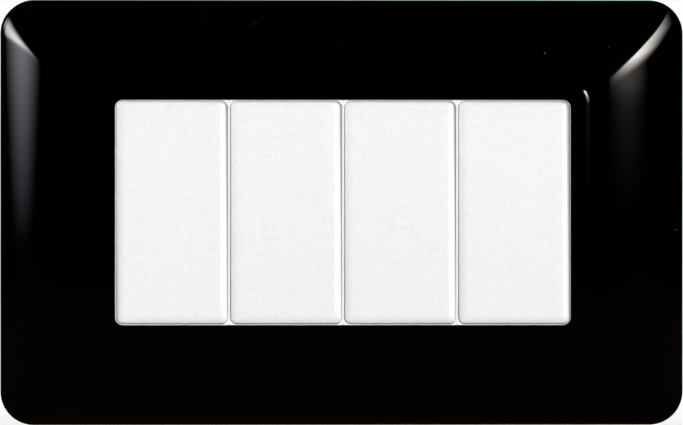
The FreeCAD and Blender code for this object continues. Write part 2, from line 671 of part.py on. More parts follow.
def module_front():
    """White front of a module: thin rim round the key, pivot ears, neck, frame hooks and latch tongues."""
    rim = rounded_block(MODULE_WIDTH / 2, MODULE_HEIGHT / 2, RIM_CORNER, RIM_FRONT, RAIL_FRONT)
    well_x = KEY_WIDTH / 2 + KEY_SIDE_GAP
    well_z = KEY_HEIGHT / 2 + KEY_END_GAP
    well = rounded_block(well_x, well_z, KEY_CORNER + KEY_SIDE_GAP, RIM_FRONT, SHELF_Y)
    neck = centred_slab(NECK_WIDTH / 2, NECK_HEIGHT / 2, RAIL_FRONT, NECK_BACK)
    through = centred_slab(NECK_INSIDE_X, NECK_INSIDE_Z, RIM_FRONT, NECK_BACK)
    body = fused(rim, neck).cut([well, through])
    body = body.makeChamfer(RIM_BEVEL, edges_within(body, RIM_FRONT, well_x, well_z))
    hooks = []
    for upper_hook in left_and_right(hook(NECK_WIDTH / 2 - HOOK_INSET)):
        hooks += above_and_below(upper_hook)
    body = fused(body, *left_and_right(pivot_ear()), *hooks, *above_and_below(latch_tongue()))
    return body.cut(rod_x(PIN_RADIUS + PIN_GAP, -EAR_OUT, EAR_OUT, PIVOT_Y))


def wire_entry():
    """Cut for the wire on the right of the upper terminal's screw, flared at its mouth."""
    inner = SCREW_RADIUS + WIRE_WEB / 2
    top = NECK_HEIGHT / 2
    hole = slab(inner, CHAMBER_X, STRIP_BACK, CLAMP_FRONT, POCKET_Z, top)
    narrow = rectangle(inner, CHAMBER_X, STRIP_BACK, CLAMP_FRONT, top - 2 * WIRE_FLARE)
    front = STRIP_BACK - WIRE_FLARE
    back = CLAMP_FRONT + WIRE_FLARE
    wide = rectangle(inner - WIRE_FLARE, CHAMBER_X + WIRE_FLARE, front, back, top)
    return fused(hole, Part.makeLoft([narrow, wide], True, True))


def lever_stop():
    """Rib on the base that the lever's lower arm rests on when the switch is off."""
    swing = math.radians(LEVER_TILT)
    arm = STOP_Z + STOP_LENGTH / 2
    front = LEVER_AXIS + (LEVER_BACK - LEVER_AXIS) * math.cos(swing) + arm * math.sin(swing) + STOP_GAP
    return centred_slab(STOP_WIDTH / 2, STOP_LENGTH / 2, front, STRIP_BACK, -STOP_Z)


def module_base():
    """Grey base of a module: contact pocket, two terminal chambers, wire entries and screw access."""
    half_x = NECK_WIDTH / 2
    half_z = NECK_HEIGHT / 2
    front = NECK_BACK - SPIGOT_LENGTH
    body = rounded_block(half_x, half_z, BASE_CORNER, NECK_BACK, BASE_BACK)
    body = body.cut(centred_slab(half_x, CHAMBER_Z - BLOCK_WALL, STRIP_BACK + BASE_FLOOR, BASE_BACK))
    body = body.makeChamfer(BASE_CHAMFER, edges_at_depth(body, BASE_BACK))
    spigot = centred_slab(NECK_INSIDE_X - SPIGOT_GAP, NECK_INSIDE_Z - SPIGOT_GAP, front, NECK_BACK)
    recess_x = TONGUE_WIDTH / 2 + TONGUE_GAP
    recess_back = NECK_BACK + TONGUE_LENGTH + TONGUE_GAP
    end_cuts = [
        slab(-CHAMBER_X, CHAMBER_X, STRIP_BACK, CHAMBER_BACK, CHAMBER_Z, POCKET_Z),
        rod_y(SCREW_HEAD_RADIUS + ACCESS_GAP, CHAMBER_BACK, BASE_BACK, z=TERMINAL_Z),
        slab(-recess_x, recess_x, NECK_BACK, recess_back, RECESS_Z, half_z),
    ]
    end_cuts += left_and_right(wire_entry())
    cuts = [centred_slab(POCKET_X, POCKET_Z, front, STRIP_BACK)]
    for cut in end_cuts:
        cuts += above_and_below(cut)
    latch_front = NECK_BACK + LATCH_FROM
    latch_back = latch_front + LATCH_LENGTH
    latch = slab(-LATCH_WIDTH / 2, LATCH_WIDTH / 2, latch_front, latch_back, RECESS_Z, RECESS_Z + LATCH_HEIGHT)
    body = fused(body, spigot).cut(cuts)
    return fused(body, lever_stop(), *above_and_below(latch))


def module_parts():
    """The pieces of one module, at rest, with the module centred on X = 0."""
    return {
        "key": at_key_rest(rocker_key()),
        "plunger": at_key_rest(plunger()),
        "spring": at_key_rest(spring()),
        "contact_lever": at_lever_rest(contact_lever()),
        "lever_contact": at_lever_rest(lever_contact()),
        "fixed_contact": fixed_contact(),
        "common_terminal": common_terminal(),
        "switched_terminal": switched_terminal(),
        "module_front": module_front(),
        "module_base": module_base(),
    }


def save(name, shape):
    """One STEP file for one named piece."""
    if not shape.isValid():
        raise ValueError(name + " is not a valid shape")
    shape.exportStep(os.path.join("parts", name + ".step"))
    print(name, "solids", len(shape.Solids), "volume", round(shape.Volume, 2))


def main():
    os.makedirs("parts", exist_ok=True)
    save("cover_plate", cover_plate())
    save("support_frame", support_frame())
    places = [(number - (MODULE_COUNT - 1) / 2) * MODULE_PITCH for number in range(MODULE_COUNT)]
    pieces = module_parts()
    for number, x in enumerate(places, 1):
        for name, shape in pieces.items():
            placed = shape.copy()
            placed.translate(V(x, 0, 0))
            save(f"{name}_{number}", placed)
    for name, piece in (("terminal_screws", terminal_screw), ("clamp_plates", clamp_plate)):
        group = [piece(z).translate(V(x, 0, 0)) for x in places for z in (-TERMINAL_Z, TERMINAL_Z)]
        save(name, Part.makeCompound(group))


main()
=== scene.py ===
# %% [markdown]
# # A black switch plate with four white rocker switches
#
# The plate is a gloss-black moulding that bulges like a pillow round a row of four white keys. The
# solids already have the right sizes and places, so this lesson only dresses them: it rebuilds the
# surfaces that mirror the light with a finer mesh and gives every piece a finish made of nodes.
# The frame is in metres, X to the right, Y into the wall and Z up, so the keys face -Y.

import json
import math

import bmesh
import bpy
from mathutils import Matrix, Vector


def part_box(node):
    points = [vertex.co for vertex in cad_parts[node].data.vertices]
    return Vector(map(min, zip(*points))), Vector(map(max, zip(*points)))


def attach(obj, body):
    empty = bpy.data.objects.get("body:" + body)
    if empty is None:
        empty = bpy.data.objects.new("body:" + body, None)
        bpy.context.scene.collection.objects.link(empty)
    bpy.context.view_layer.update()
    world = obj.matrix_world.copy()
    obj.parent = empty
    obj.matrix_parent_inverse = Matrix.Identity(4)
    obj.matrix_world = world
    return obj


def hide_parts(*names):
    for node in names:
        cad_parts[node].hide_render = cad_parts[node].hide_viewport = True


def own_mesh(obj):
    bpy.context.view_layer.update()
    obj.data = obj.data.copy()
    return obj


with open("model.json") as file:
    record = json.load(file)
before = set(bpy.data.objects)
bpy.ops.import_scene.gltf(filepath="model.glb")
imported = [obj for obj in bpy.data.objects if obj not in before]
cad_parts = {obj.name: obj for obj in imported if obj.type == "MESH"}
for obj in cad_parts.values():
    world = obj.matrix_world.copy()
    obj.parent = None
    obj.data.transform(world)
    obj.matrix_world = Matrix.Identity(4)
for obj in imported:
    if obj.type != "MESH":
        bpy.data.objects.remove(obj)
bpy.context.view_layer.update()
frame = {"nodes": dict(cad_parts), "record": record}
scene = bpy.context.scene
scene.view_settings.view_transform = "Standard"

# %% [markdown]
# The photograph is taken from far away and very nearly straight on: the sides of the plate are
# parallel, but the keys, which stand nearer to the lens than the rim, sit a quarter of a millimetre
# to the right of its middle. A camera turned about two degrees to the left of the plate's axis shows
# that. An orthographic camera would do for this view, but a long lens also works from other sides.

# %% Camera
MM = 0.001
PICTURE_WIDTH = 683
PIXELS_PER_MM = 5.052
CAMERA_DISTANCE = 2.0
CAMERA_TURN = math.radians(1.9)
camera_data = bpy.data.cameras.new("long_lens")
camera_data.sensor_width = 36.0
camera_data.lens = camera_data.sensor_width * CAMERA_DISTANCE / (PICTURE_WIDTH / PIXELS_PER_MM * MM)
camera_data.clip_end = 20.0
camera = bpy.data.objects.new("long_lens", camera_data)
camera.location = (-CAMERA_DISTANCE * math.sin(CAMERA_TURN), -CAMERA_DISTANCE * math.cos(CAMERA_TURN), 0.0)
camera.rotation_euler = (math.pi / 2, 0.0, -CAMERA_TURN)
scene.collection.objects.link(camera)
scene.camera = camera
print("lens", round(camera_data.lens), "mm")

# %% [markdown]
# Node trees are easier to read as formulas than as boxes and links. `Wire` wraps the output of a
# node, so that adding two wires adds a Math node. The same helpers serve the geometry trees, the
# finishes and the light panels. The alternative, one call for each node and each link, is much
# longer and hides what is being worked out.


# %% Formulas for node trees
def feed(tree, socket, value):
    """Links a wire or a socket to an input, or sets the input to a plain value."""
    if isinstance(value, Wire):
        value = value.socket
    if isinstance(value, bpy.types.NodeSocket):
        tree.links.new(value, socket)
    else:
        socket.default_value = value


def put(tree, kind, inputs=(), **settings):
    """Adds a node with its settings. Inputs are given in order, or in a dict by name or number."""
    node = tree.nodes.new(kind)
    for name, value in settings.items():
        setattr(node, name, value)
    named = inputs if isinstance(inputs, dict) else dict(enumerate(inputs))
    for key, value in named.items():
        feed(tree, node.inputs[key], value)
    return node


class Wire:
    """The output of a node, used in formulas like a number."""

    def __init__(self, tree, socket):
        self.tree = tree
        self.socket = socket

    def do(self, operation, *others):
        node = put(self.tree, "ShaderNodeMath", (self, *others), operation=operation)
        return Wire(self.tree, node.outputs[0])

    def __add__(self, other):
        return self.do("ADD", other)

    def __sub__(self, other):
        return self.do("SUBTRACT", other)

    def __mul__(self, other):
        return self.do("MULTIPLY", other)

    def __truediv__(self, other):
        return self.do("DIVIDE", other)

    def between(self, low, high):
        return self.do("MAXIMUM", low).do("MINIMUM", high)

    def ramp(self, low, high):
        """A soft step from 0 at the first value to 1 at the second one."""
        inputs = {"Value": self, "From Min": low, "From Max": high}
        node = put(self.tree, "ShaderNodeMapRange", inputs, interpolation_type="SMOOTHSTEP")
        return Wire(self.tree, node.outputs[0])


def axes_of(tree, vector):
    """The three parts of a vector as wires."""
    return [Wire(tree, socket) for socket in put(tree, "ShaderNodeSeparateXYZ", (vector,)).outputs]


def blended(tree, factor, first, second):
    """Colour between two colours."""
    first_socket, second_socket, colour_output = 6, 7, 2
    inputs = {0: factor, first_socket: first, second_socket: second}
    return put(tree, "ShaderNodeMix", inputs, data_type="RGBA").outputs[colour_output]


print("helpers for node trees:", [helper.__name__ for helper in (feed, put, Wire, axes_of, blended)])

# %% [markdown]
# The studio is dark in front of the plate, as its black rails show, and white behind it. The world
# does both: camera rays meet plain white, mirror rays meet white only behind the plate and a faint
# brown table below, and all other rays bring an even soft light. A real lamp or white wall in front
# would be seen in the black mirror.

# %% World
AMBIENT = 0.47
WHITE = (1.0, 1.0, 1.0, 1.0)
BLACK = (0.0, 0.0, 0.0, 1.0)
TABLE_GLOW = (0.030, 0.020, 0.008, 1.0)
TABLE_DIP = (0.0, 0.5)
WHITE_BEHIND = (0.25, 0.60)
world = bpy.data.worlds.new("studio")
scene.world = world
world.use_nodes = True
sky = world.node_tree
sky.nodes.clear()
rays = put(sky, "ShaderNodeLightPath")
_, depth_part, height_part = axes_of(sky, put(sky, "ShaderNodeTexCoord").outputs["Generated"])
front = blended(sky, (height_part * -1.0).ramp(*TABLE_DIP), BLACK, TABLE_GLOW)
mirrored = blended(sky, depth_part.ramp(*WHITE_BEHIND), front, WHITE)
even = put(sky, "ShaderNodeBackground", (WHITE, AMBIENT))
mirror = put(sky, "ShaderNodeBackground", (mirrored, 1.0))
plain = put(sky, "ShaderNodeBackground", (WHITE, 1.0))
glossy = Wire(sky, rays.outputs["Is Glossy Ray"]).do("MAXIMUM", rays.outputs["Is Transmission Ray"])
unseen = put(sky, "ShaderNodeMixShader", (glossy, even.outputs[0], mirror.outputs[0]))
shown = put(sky, "ShaderNodeMixShader", (rays.outputs["Is Camera Ray"], unseen.outputs[0], plain.outputs[0]))
put(sky, "ShaderNodeOutputWorld", (shown.outputs[0],))
print("world nodes", len(sky.nodes))

# %% [markdown]
# The main lamp stands in front, to the right and a little above, because each key's left gap is
# darker than its right one. The four keys are equally bright, so it is a sun lamp, which doesn't fade
# with distance, with a wide disc for soft shadows. The second lamp is a soft box behind the plate,
# for the terminals. Once the plate is made, a later step takes the sun off it, because the black
# gloss would mirror it. A weak third lamp for the white rims follows near the end.

# %% Lamps
MAIN_PLACE, MAIN_POWER, MAIN_DISC = (0.44, -0.90, 0.14), 2.30, math.radians(40.0)
REAR_PLACE, REAR_POWER, REAR_SIZE = (-0.45, 0.85, 0.65), 7.0, 0.50


def lamp_towards_plate(name, kind, place, power):
    """Lamp that points at the middle of the plate."""
    data = bpy.data.lights.new(name, kind)
    data.energy = power
    lamp = bpy.data.objects.new(name, data)
    lamp.location = place
    lamp.rotation_euler = (-lamp.location).to_track_quat("-Z", "Y").to_euler()
    scene.collection.objects.link(lamp)
    return lamp


main_lamp = lamp_towards_plate("main_lamp", "SUN", MAIN_PLACE, MAIN_POWER)
main_lamp.data.angle = MAIN_DISC
rear_lamp = lamp_towards_plate("rear_lamp", "AREA", REAR_PLACE, REAR_POWER)
rear_lamp.data.size = REAR_SIZE
print("lamps", main_lamp.data.energy, rear_lamp.data.energy)

# %% [markdown]
# The plate's crown bends like a round mirror: a point that leans by some angle shows what stands at
# twice that angle from the camera. So the cool band on the left rail is a panel from 40 to 90
# degrees to the left, and the warm streak in the upper right corner is one from 2 to 80 degrees to
# the right. They are curved sheets that only mirror rays see. Their light grows with the height and
# fades sideways, towards the upper edge and at the outer end. For that, a UV map holds each point's
# angle and height, and an attribute its share of the sheet's height. An area lamp would be simpler,
# but it is evenly bright and has straight edges.

# %% Light of a panel
TINT_HEIGHT = 90.0
END_FADE = 4.0


def panel_light(
    name, low_tint, high_tint,
    foot, slope, bend, box_edge, limit, top_fade,
    middle, spread, widening, widest, end, slant,
):
    """Emission of a panel, with angles in degrees from the camera and heights in millimetres.

    Upwards, the strength grows from the foot by a slope, and past the box edge also by a bend, up to
    a limit. It fades out between top_fade, a share of the sheet's height, and the upper edge.
    Sideways it fades from the middle angle over a spread that widens with the height up to the
    widest. The outer end leans inwards by the slant, in degrees for each millimetre of height.
    """
    material = bpy.data.materials.new(name)
    material.use_nodes = True
    tree = material.node_tree
    tree.nodes.clear()
    angle, height, _ = axes_of(tree, put(tree, "ShaderNodeUVMap", uv_map="panel").outputs[0])
    rise = (height - foot).do("MAXIMUM", 0.0)
    box = rise * rise * bend * height.ramp(*box_edge)
    share = Wire(tree, put(tree, "ShaderNodeAttribute", attribute_name="share_of_height").outputs["Fac"])
    strength = (rise * slope + box).do("MINIMUM", limit) * share.ramp(1.0, top_fade)
    width = (rise * widening + spread).do("MINIMUM", widest)
    side = ((angle - middle) / width).between(-1.0, 1.0) * (math.pi / 2)
    bell = side.do("COSINE").do("POWER", 2.0)
    tint = blended(tree, height.ramp(0.0, TINT_HEIGHT), low_tint, high_tint)
    outer_end = (height * slant + angle).ramp(end, end - END_FADE)
    emission = put(tree, "ShaderNodeEmission", (tint, strength * bell * outer_end))
    put(tree, "ShaderNodeOutputMaterial", (emission.outputs[0],))
    return material


cool_light = panel_light(
    "cool_light",
    low_tint=(0.80, 0.84, 1.0, 1.0),
    high_tint=(1.0, 0.96, 0.95, 1.0),
    foot=-7.0,
    slope=0.033,
    bend=0.00108,
    box_edge=(-8.0, -7.0),
    limit=18.0,
    top_fade=0.38,
    middle=64.0,
    spread=15.0,
    widening=0.24,
    widest=36.0,
    end=90.0,
    slant=0.042,
)
warm_light = panel_light(
    "warm_light",
    low_tint=(1.0, 0.94, 0.90, 1.0),
    high_tint=(1.0, 0.94, 0.89, 1.0),
    foot=3.0,
    slope=0.0064,
    bend=0.0011,
    box_edge=(27.0, 32.0),
    limit=24.0,
    top_fade=0.93,
    middle=21.0,
    spread=24.0,
    widening=0.09,
    widest=50.0,
    end=80.0,
    slant=0.0,
)
print("panel light nodes", len(cool_light.node_tree.nodes), len(warm_light.node_tree.nodes))

# %% Panels
PANEL_RADIUS, PANEL_CENTRE_X = 500.0, 60.0
PANEL_COLUMNS, PANEL_ROWS = 48, 32
CORNER_HEIGHT = 37.0


def shares(steps):
    """Equal shares from 0 to 1."""
    return [step / steps for step in range(steps + 1)]


def soft_panel(name, side, first_angle, last_angle, bottom, top_lean, top_from, light):
    """Curved sheet beside the plate. Its upper edge rises with the angle from the camera."""
    sheet = bmesh.new()
    uv = sheet.loops.layers.uv.new("panel")
    height_layer = sheet.verts.layers.float.new("share_of_height")
    columns = []
    for across in shares(PANEL_COLUMNS):
        angle = first_angle + (last_angle - first_angle) * across
        elevation = math.radians(max(top_lean * (angle - top_from), 0.0))
        top = CORNER_HEIGHT + PANEL_RADIUS * math.tan(elevation)
        bearing = side * math.radians(angle) + CAMERA_TURN
        x = side * PANEL_CENTRE_X + PANEL_RADIUS * math.sin(bearing)
        y = -PANEL_RADIUS * math.cos(bearing)
        columns.append([])
        for upwards in shares(PANEL_ROWS):
            z = bottom + (top - bottom) * upwards
            corner = sheet.verts.new((x * MM, y * MM, z * MM))
            corner[height_layer] = upwards
            columns[-1].append((corner, angle, z))
    for left, right in zip(columns, columns[1:]):
        for row in range(PANEL_ROWS):
            corners = (left[row], right[row], right[row + 1], left[row + 1])
            face = sheet.faces.new([corner for corner, _, _ in corners])
            for loop, (_, angle, z) in zip(face.loops, corners):
                loop[uv].uv = (angle, z)
    mesh = bpy.data.meshes.new(name)
    sheet.to_mesh(mesh)
    sheet.free()
    mesh.materials.append(light)
    panel = bpy.data.objects.new(name, mesh)
    panel.visible_camera = False
    panel.visible_diffuse = False
    panel.visible_shadow = False
    scene.collection.objects.link(panel)
    print(name, len(mesh.polygons), "faces")
    return panel


left_panel = soft_panel(
    "left_panel",
    side=-1,
    first_angle=40.0,
    last_angle=90.0,
    bottom=-8.0,
    top_lean=1.1,
    top_from=40.5,
    light=cool_light,
)
right_panel = soft_panel(
    "right_panel",
    side=1,
    first_angle=2.0,
    last_angle=80.0,
    bottom=1.0,
    top_lean=0.70,
    top_from=1.5,
    light=warm_light,
)
print("panels", left_panel.name, right_panel.name)

# %% [markdown]
# The floor is pale paper that keeps a faint shadow of the plate. The camera and mirror rays see it
# mostly white close by and wholly white further away, so that it joins the background. In front of
# the plate, and a little way behind the wall plane, mirror rays meet a dark table instead, because
# the lower rail shows no white. A backdrop isn't needed, as the world is white for the camera.

# %% Floor
FLOOR_HEIGHT, FLOOR_HALF = -42.5, 3000.0
PAPER = (0.86, 0.86, 0.86, 1.0)
WHITE_NEAR, WHITE_FADE = 0.7, (0.10, 0.32)
TABLE_EDGE = (0.30, 0.12)
floor_paint = bpy.data.materials.new("pale_floor")
floor_paint.use_nodes = True
floor_tree = floor_paint.node_tree
floor_tree.nodes.clear()
floor_place = put(floor_tree, "ShaderNodeTexCoord").outputs["Object"]
far = Wire(floor_tree, put(floor_tree, "ShaderNodeVectorMath", (floor_place,), operation="LENGTH").outputs[1])
_, floor_depth, _ = axes_of(floor_tree, floor_place)
floor_rays = put(floor_tree, "ShaderNodeLightPath")
paper = put(floor_tree, "ShaderNodeBsdfDiffuse", (PAPER,))
glow = put(floor_tree, "ShaderNodeEmission", (WHITE, 1.0))
dark = put(floor_tree, "ShaderNodeEmission", (TABLE_GLOW, 1.0))
in_mirror = Wire(floor_tree, floor_rays.outputs["Is Glossy Ray"])
seen = in_mirror.do("MAXIMUM", floor_rays.outputs["Is Camera Ray"])
white_part = (far.ramp(*WHITE_FADE) * (1.0 - WHITE_NEAR) + WHITE_NEAR) * seen
pale = put(floor_tree, "ShaderNodeMixShader", (white_part, paper.outputs[0], glow.outputs[0]))
in_front = (floor_depth / far).ramp(*TABLE_EDGE) * in_mirror
surface = put(floor_tree, "ShaderNodeMixShader", (in_front, pale.outputs[0], dark.outputs[0]))
put(floor_tree, "ShaderNodeOutputMaterial", (surface.outputs[0],))
floor_mesh = bpy.data.meshes.new("floor")
floor_signs = [(-1, -1), (1, -1), (1, 1), (-1, 1)]
floor_points = [(x * FLOOR_HALF * MM, y * FLOOR_HALF * MM, FLOOR_HEIGHT * MM) for x, y in floor_signs]
floor_mesh.from_pydata(floor_points, [], [(0, 1, 2, 3)])
floor_mesh.materials.append(floor_paint)
floor = bpy.data.objects.new("floor", floor_mesh)
scene.collection.objects.link(floor)
print("floor at", FLOOR_HEIGHT, "mm")

# %% [markdown]
# Every finish starts from one shader with noise on the object's own coordinates, because a moulded
# or stamped piece is never one flat colour. A painted image could hold the same marks, but noise
# needs no file, has no seams and stays sharp at any distance. A finished material is filed under the
# name of its slot, which the pieces ask for later.

# %% Helpers for finishes
finishes = {}


class Finish:
    """A material in the making: its shader, its coordinates and short ways to add noise and bumps."""

    def __init__(self, slot, **plain_sockets):
        self.slot = slot
        self.material = bpy.data.materials.new(slot)
        self.material.use_nodes = True
        self.tree = self.material.node_tree
        self.shader = self.tree.nodes["Principled BSDF"]
        self.place = put(self.tree, "ShaderNodeTexCoord").outputs["Object"]
        self.normal = None
        for socket, value in plain_sockets.items():
            self.shader.inputs[socket.replace("_", " ")].default_value = value

    def link(self, socket, value):
        feed(self.tree, self.shader.inputs[socket], value)

    def stretched(self, scale, turn=(0.0, 0.0, 0.0)):
        """Coordinates turned and then scaled along each axis."""
        inputs = {"Vector": self.place, "Rotation": turn}
        turned = put(self.tree, "ShaderNodeVectorRotate", inputs, rotation_type="EULER_XYZ").outputs[0]
        return put(self.tree, "ShaderNodeVectorMath", (turned, scale), operation="MULTIPLY").outputs[0]

    def noise(self, scale, detail, place=None):
        inputs = {"Vector": place or self.place, "Scale": scale, "Detail": detail}
        return Wire(self.tree, put(self.tree, "ShaderNodeTexNoise", inputs).outputs[0])

    def bump(self, height, distance):
        """Adds a relief of the given depth in metres over the ones before it."""
        inputs = {"Height": height, "Distance": distance, "Strength": 1.0}
        if self.normal is not None:
            inputs["Normal"] = self.normal
        self.normal = put(self.tree, "ShaderNodeBump", inputs).outputs[0]
        self.link("Normal", self.normal)

    def colour(self, factor, first, second):
        self.link("Base Color", blended(self.tree, factor, first, second))

    def file(self):
        """Files the finished material under its slot."""
        finishes[self.slot] = self.material
        print(self.slot, len(self.tree.nodes), "nodes")


def shade(colour, factor=1.0):
    """A colour made lighter or darker, with full opacity."""
    return (*[part * factor for part in colour], 1.0)


print("finishes so far", len(finishes))

# %% [markdown]
# The plate is polished black plastic. Its finish has a faint waviness from the mould, a few dust
# specks and very faint hairline scratches. The specks are Voronoi cells of which a few random ones
# get a visible dot. The hairlines are noise stretched about thirty times along one direction and
# cut off near its peaks. Modelling such marks would cost many faces for no visible depth.

# %% Gloss black
PLASTIC_BLACK, DUST = (0.0004, 0.0003, 0.0003), (0.10, 0.095, 0.085)
SPECK_CELLS, SPECK_RARITY, SPECK_REACH, SPECK_EDGE = 75.0, 9.0, 0.016, 400.0
HAIR_SCALE, HAIR_CUT, HAIR_STRENGTH = (110.0, 110.0, 3200.0), (0.80, 0.83), 0.05
HAIR_TURNS_AND_SHIFTS = ((0.55, 3.0), (-0.9, 11.0))
HAIR_PATCHES, PATCH_CUT = 38.0, (0.56, 0.66)
GLOSS_CLOUDS, GLOSS_LEAST, GLOSS_SPREAD, MARK_ROUGHNESS = 220.0, 0.035, 0.03, 0.35
WAVE_SCALE, WAVE_DEPTH = 70.0, 6e-6
POLISH_SCALE, POLISH_DEPTH = 2600.0, 2e-7


def dust_specks(finish):
    x, _, z = axes_of(finish.tree, finish.place)
    flat = put(finish.tree, "ShaderNodeCombineXYZ", (x, z)).outputs[0]
    inputs = {"Vector": flat, "Scale": SPECK_CELLS}
    cells = put(finish.tree, "ShaderNodeTexVoronoi", inputs, voronoi_dimensions="2D")
    chance, _, _ = axes_of(finish.tree, cells.outputs["Color"])
    reach = chance.do("POWER", SPECK_RARITY) * SPECK_REACH
    return ((reach - Wire(finish.tree, cells.outputs["Distance"])) * SPECK_EDGE).between(0.0, 1.0)


def hairlines(finish):
    directions = []
    for turn, shift in HAIR_TURNS_AND_SHIFTS:
        lines = finish.stretched(HAIR_SCALE, (0.0, turn, 0.0))
        shifted = put(finish.tree, "ShaderNodeVectorMath", (lines, (shift, 0.0, shift)), operation="ADD")
        directions.append(finish.noise(1.0, 0.0, shifted.outputs[0]).ramp(*HAIR_CUT))
    first, second = directions
    return first.do("MAXIMUM", second) * finish.noise(HAIR_PATCHES, 1.0).ramp(*PATCH_CUT)


def gloss_black(slot):
    finish = Finish(slot, IOR=1.49)
    marks = dust_specks(finish).do("MAXIMUM", hairlines(finish) * HAIR_STRENGTH)
    finish.colour(marks, shade(PLASTIC_BLACK), shade(DUST))
    cloud = finish.noise(GLOSS_CLOUDS, 3.0)
    finish.link("Roughness", cloud * GLOSS_SPREAD + GLOSS_LEAST + marks * MARK_ROUGHNESS)
    finish.bump(finish.noise(WAVE_SCALE, 1.0), WAVE_DEPTH)
    finish.bump(finish.noise(POLISH_SCALE, 1.0), POLISH_DEPTH)
    finish.file()


gloss_black("plate_black")

# %% [markdown]
# The keys and the module fronts are satin white plastic. Up close the white is slightly mottled and
# has a fine grain that spreads highlights. The grain is a relief, so it also breaks the edge of a
# highlight, which a rougher flat surface wouldn't do. A little light goes under the surface.

# %% Satin white
MOTTLE_SCALE, MOTTLE_CUT, SATIN_SPREAD = 1400.0, (0.30, 0.70), 0.12
SATIN_SCALE, SATIN_DEPTH = 4200.0, 3e-6


def satin_white(slot, colour, mottle, roughness):
    finish = Finish(
        slot,
        IOR=1.50,
        Subsurface_Weight=0.4,
        Subsurface_Scale=0.0006,
        Subsurface_Radius=(1.0, 1.0, 1.0),
    )
    cloud = finish.noise(MOTTLE_SCALE, 1.5)
    finish.colour(cloud.ramp(*MOTTLE_CUT), shade(colour, 1.0 - mottle), shade(colour))
    finish.link("Roughness", cloud * SATIN_SPREAD + roughness)
    finish.bump(finish.noise(SATIN_SCALE, 2.0), SATIN_DEPTH)
    finish.file()


satin_white("key_white", (0.895, 0.895, 0.892), mottle=0.04, roughness=0.24)
# The module fronts get a paler white than the keys: painted light that lifts the shade on their deep rims.
satin_white("body_white", (0.95, 0.95, 0.945), mottle=0.03, roughness=0.40)

# %% [markdown]
# The parts that a wall hides are plainer mouldings: the bases are grey, the frame is dark and
# filled with glass fibre, and the plungers are ivory. Filled plastic shows pale flow streaks and
# a dull uneven gloss, so the colour noise is stretched along the flow and the grain is coarser.
# Without them, one even colour would look like paint.

# %% Moulded plastics
STREAK_CUT, STREAK_SPREAD = (0.32, 0.68), 0.2
FLECK_SCALE, FLECK_CUT, FLECK_SHARE = 2400.0, (0.66, 0.74), 0.35
MOULD_GRAIN_SCALE = 1500.0


def moulded(slot, colour, flow, streak, roughness, grain):
    finish = Finish(slot, IOR=1.53)
    streaks = finish.noise(1.0, 4.0, finish.stretched(flow))
    flecks = finish.noise(FLECK_SCALE, 1.0).ramp(*FLECK_CUT)
    tone = streaks.ramp(*STREAK_CUT) * (1.0 - FLECK_SHARE) + flecks * FLECK_SHARE
    finish.colour(tone, shade(colour, 1.0 - streak), shade(colour, 1.0 + streak))
    finish.link("Roughness", streaks * STREAK_SPREAD + roughness)
    finish.bump(finish.noise(MOULD_GRAIN_SCALE, 3.0), grain)
    finish.file()


moulded("base_grey", (0.47, 0.48, 0.49), (260.0, 140.0, 60.0), streak=0.07, roughness=0.42, grain=1.2e-5)
moulded("frame_grey", (0.060, 0.063, 0.067), (50.0, 160.0, 320.0), streak=0.16, roughness=0.45, grain=1.6e-5)
moulded("plunger_ivory", (0.78, 0.74, 0.63), (90.0, 300.0, 90.0), streak=0.03, roughness=0.30, grain=3e-6)

# %% [markdown]
# Brass strips, silver contacts and plated clamps are stamped from sheet, so they carry fine rolling
# lines along one direction and a cloudy tarnish. Both change the roughness; the lines also have
# a relief, and the tarnish changes the colour. An anisotropic shader could hint at the lines, but
# stretched noise shows them one by one.

# %% Sheet metals
ROLLING_SCALE, ROLLING_SPREAD, ROLLING_DEPTH = (2500.0, 2500.0, 60.0), 0.18, 2e-6
TARNISH_SCALE, TARNISH_CUT, TARNISH_SPREAD = 330.0, (0.35, 0.75), 0.12


def sheet_metal(slot, colour, tarnish, roughness):
    finish = Finish(slot, Metallic=1.0)
    cloud = finish.noise(TARNISH_SCALE, 4.0)
    lines = finish.noise(1.0, 2.0, finish.stretched(ROLLING_SCALE))
    finish.colour(cloud.ramp(*TARNISH_CUT), shade(colour), shade(tarnish))
    finish.link("Roughness", lines * ROLLING_SPREAD + cloud * TARNISH_SPREAD + roughness)
    finish.bump(lines, ROLLING_DEPTH)
    finish.file()


sheet_metal("contact_brass", (0.78, 0.56, 0.25), tarnish=(0.52, 0.34, 0.14), roughness=0.18)
sheet_metal("contact_silver", (0.86, 0.84, 0.80), tarnish=(0.55, 0.52, 0.46), roughness=0.16)
sheet_metal("clamp_steel", (0.70, 0.70, 0.66), tarnish=(0.52, 0.50, 0.42), roughness=0.24)

# %% [markdown]
# The terminal screws are turned on a lathe and plated: their marks run in rings round each screw's
# own axis, and the springs' marks run along the wire. Object coordinates can't know either, so the
# trees that make these pieces store the needed coordinates in an attribute of the mesh.

# %% Turned and drawn metals
TOOL_MARK_SPREAD, TOOL_MARK_DEPTH = 0.25, 6e-6
PLATING_SCALE, PLATING_CUT, PLATING_SPREAD, PLATING_SHADE = 900.0, (0.3, 0.75), 0.1, 0.72


def worked_metal(slot, colour, attribute, scale, roughness):
    finish = Finish(slot, Metallic=1.0)
    across = put(finish.tree, "ShaderNodeAttribute", attribute_name=attribute).outputs["Fac"]
    inputs = {"W": Wire(finish.tree, across) * scale, "Scale": 1.0}
    texture = put(finish.tree, "ShaderNodeTexNoise", inputs, noise_dimensions="1D")
    tool_marks = Wire(finish.tree, texture.outputs[0])
    cloud = finish.noise(PLATING_SCALE, 3.0)
    finish.colour(cloud.ramp(*PLATING_CUT), shade(colour), shade(colour, PLATING_SHADE))
    finish.link("Roughness", tool_marks * TOOL_MARK_SPREAD + cloud * PLATING_SPREAD + roughness)
    finish.bump(tool_marks, TOOL_MARK_DEPTH)
    finish.file()


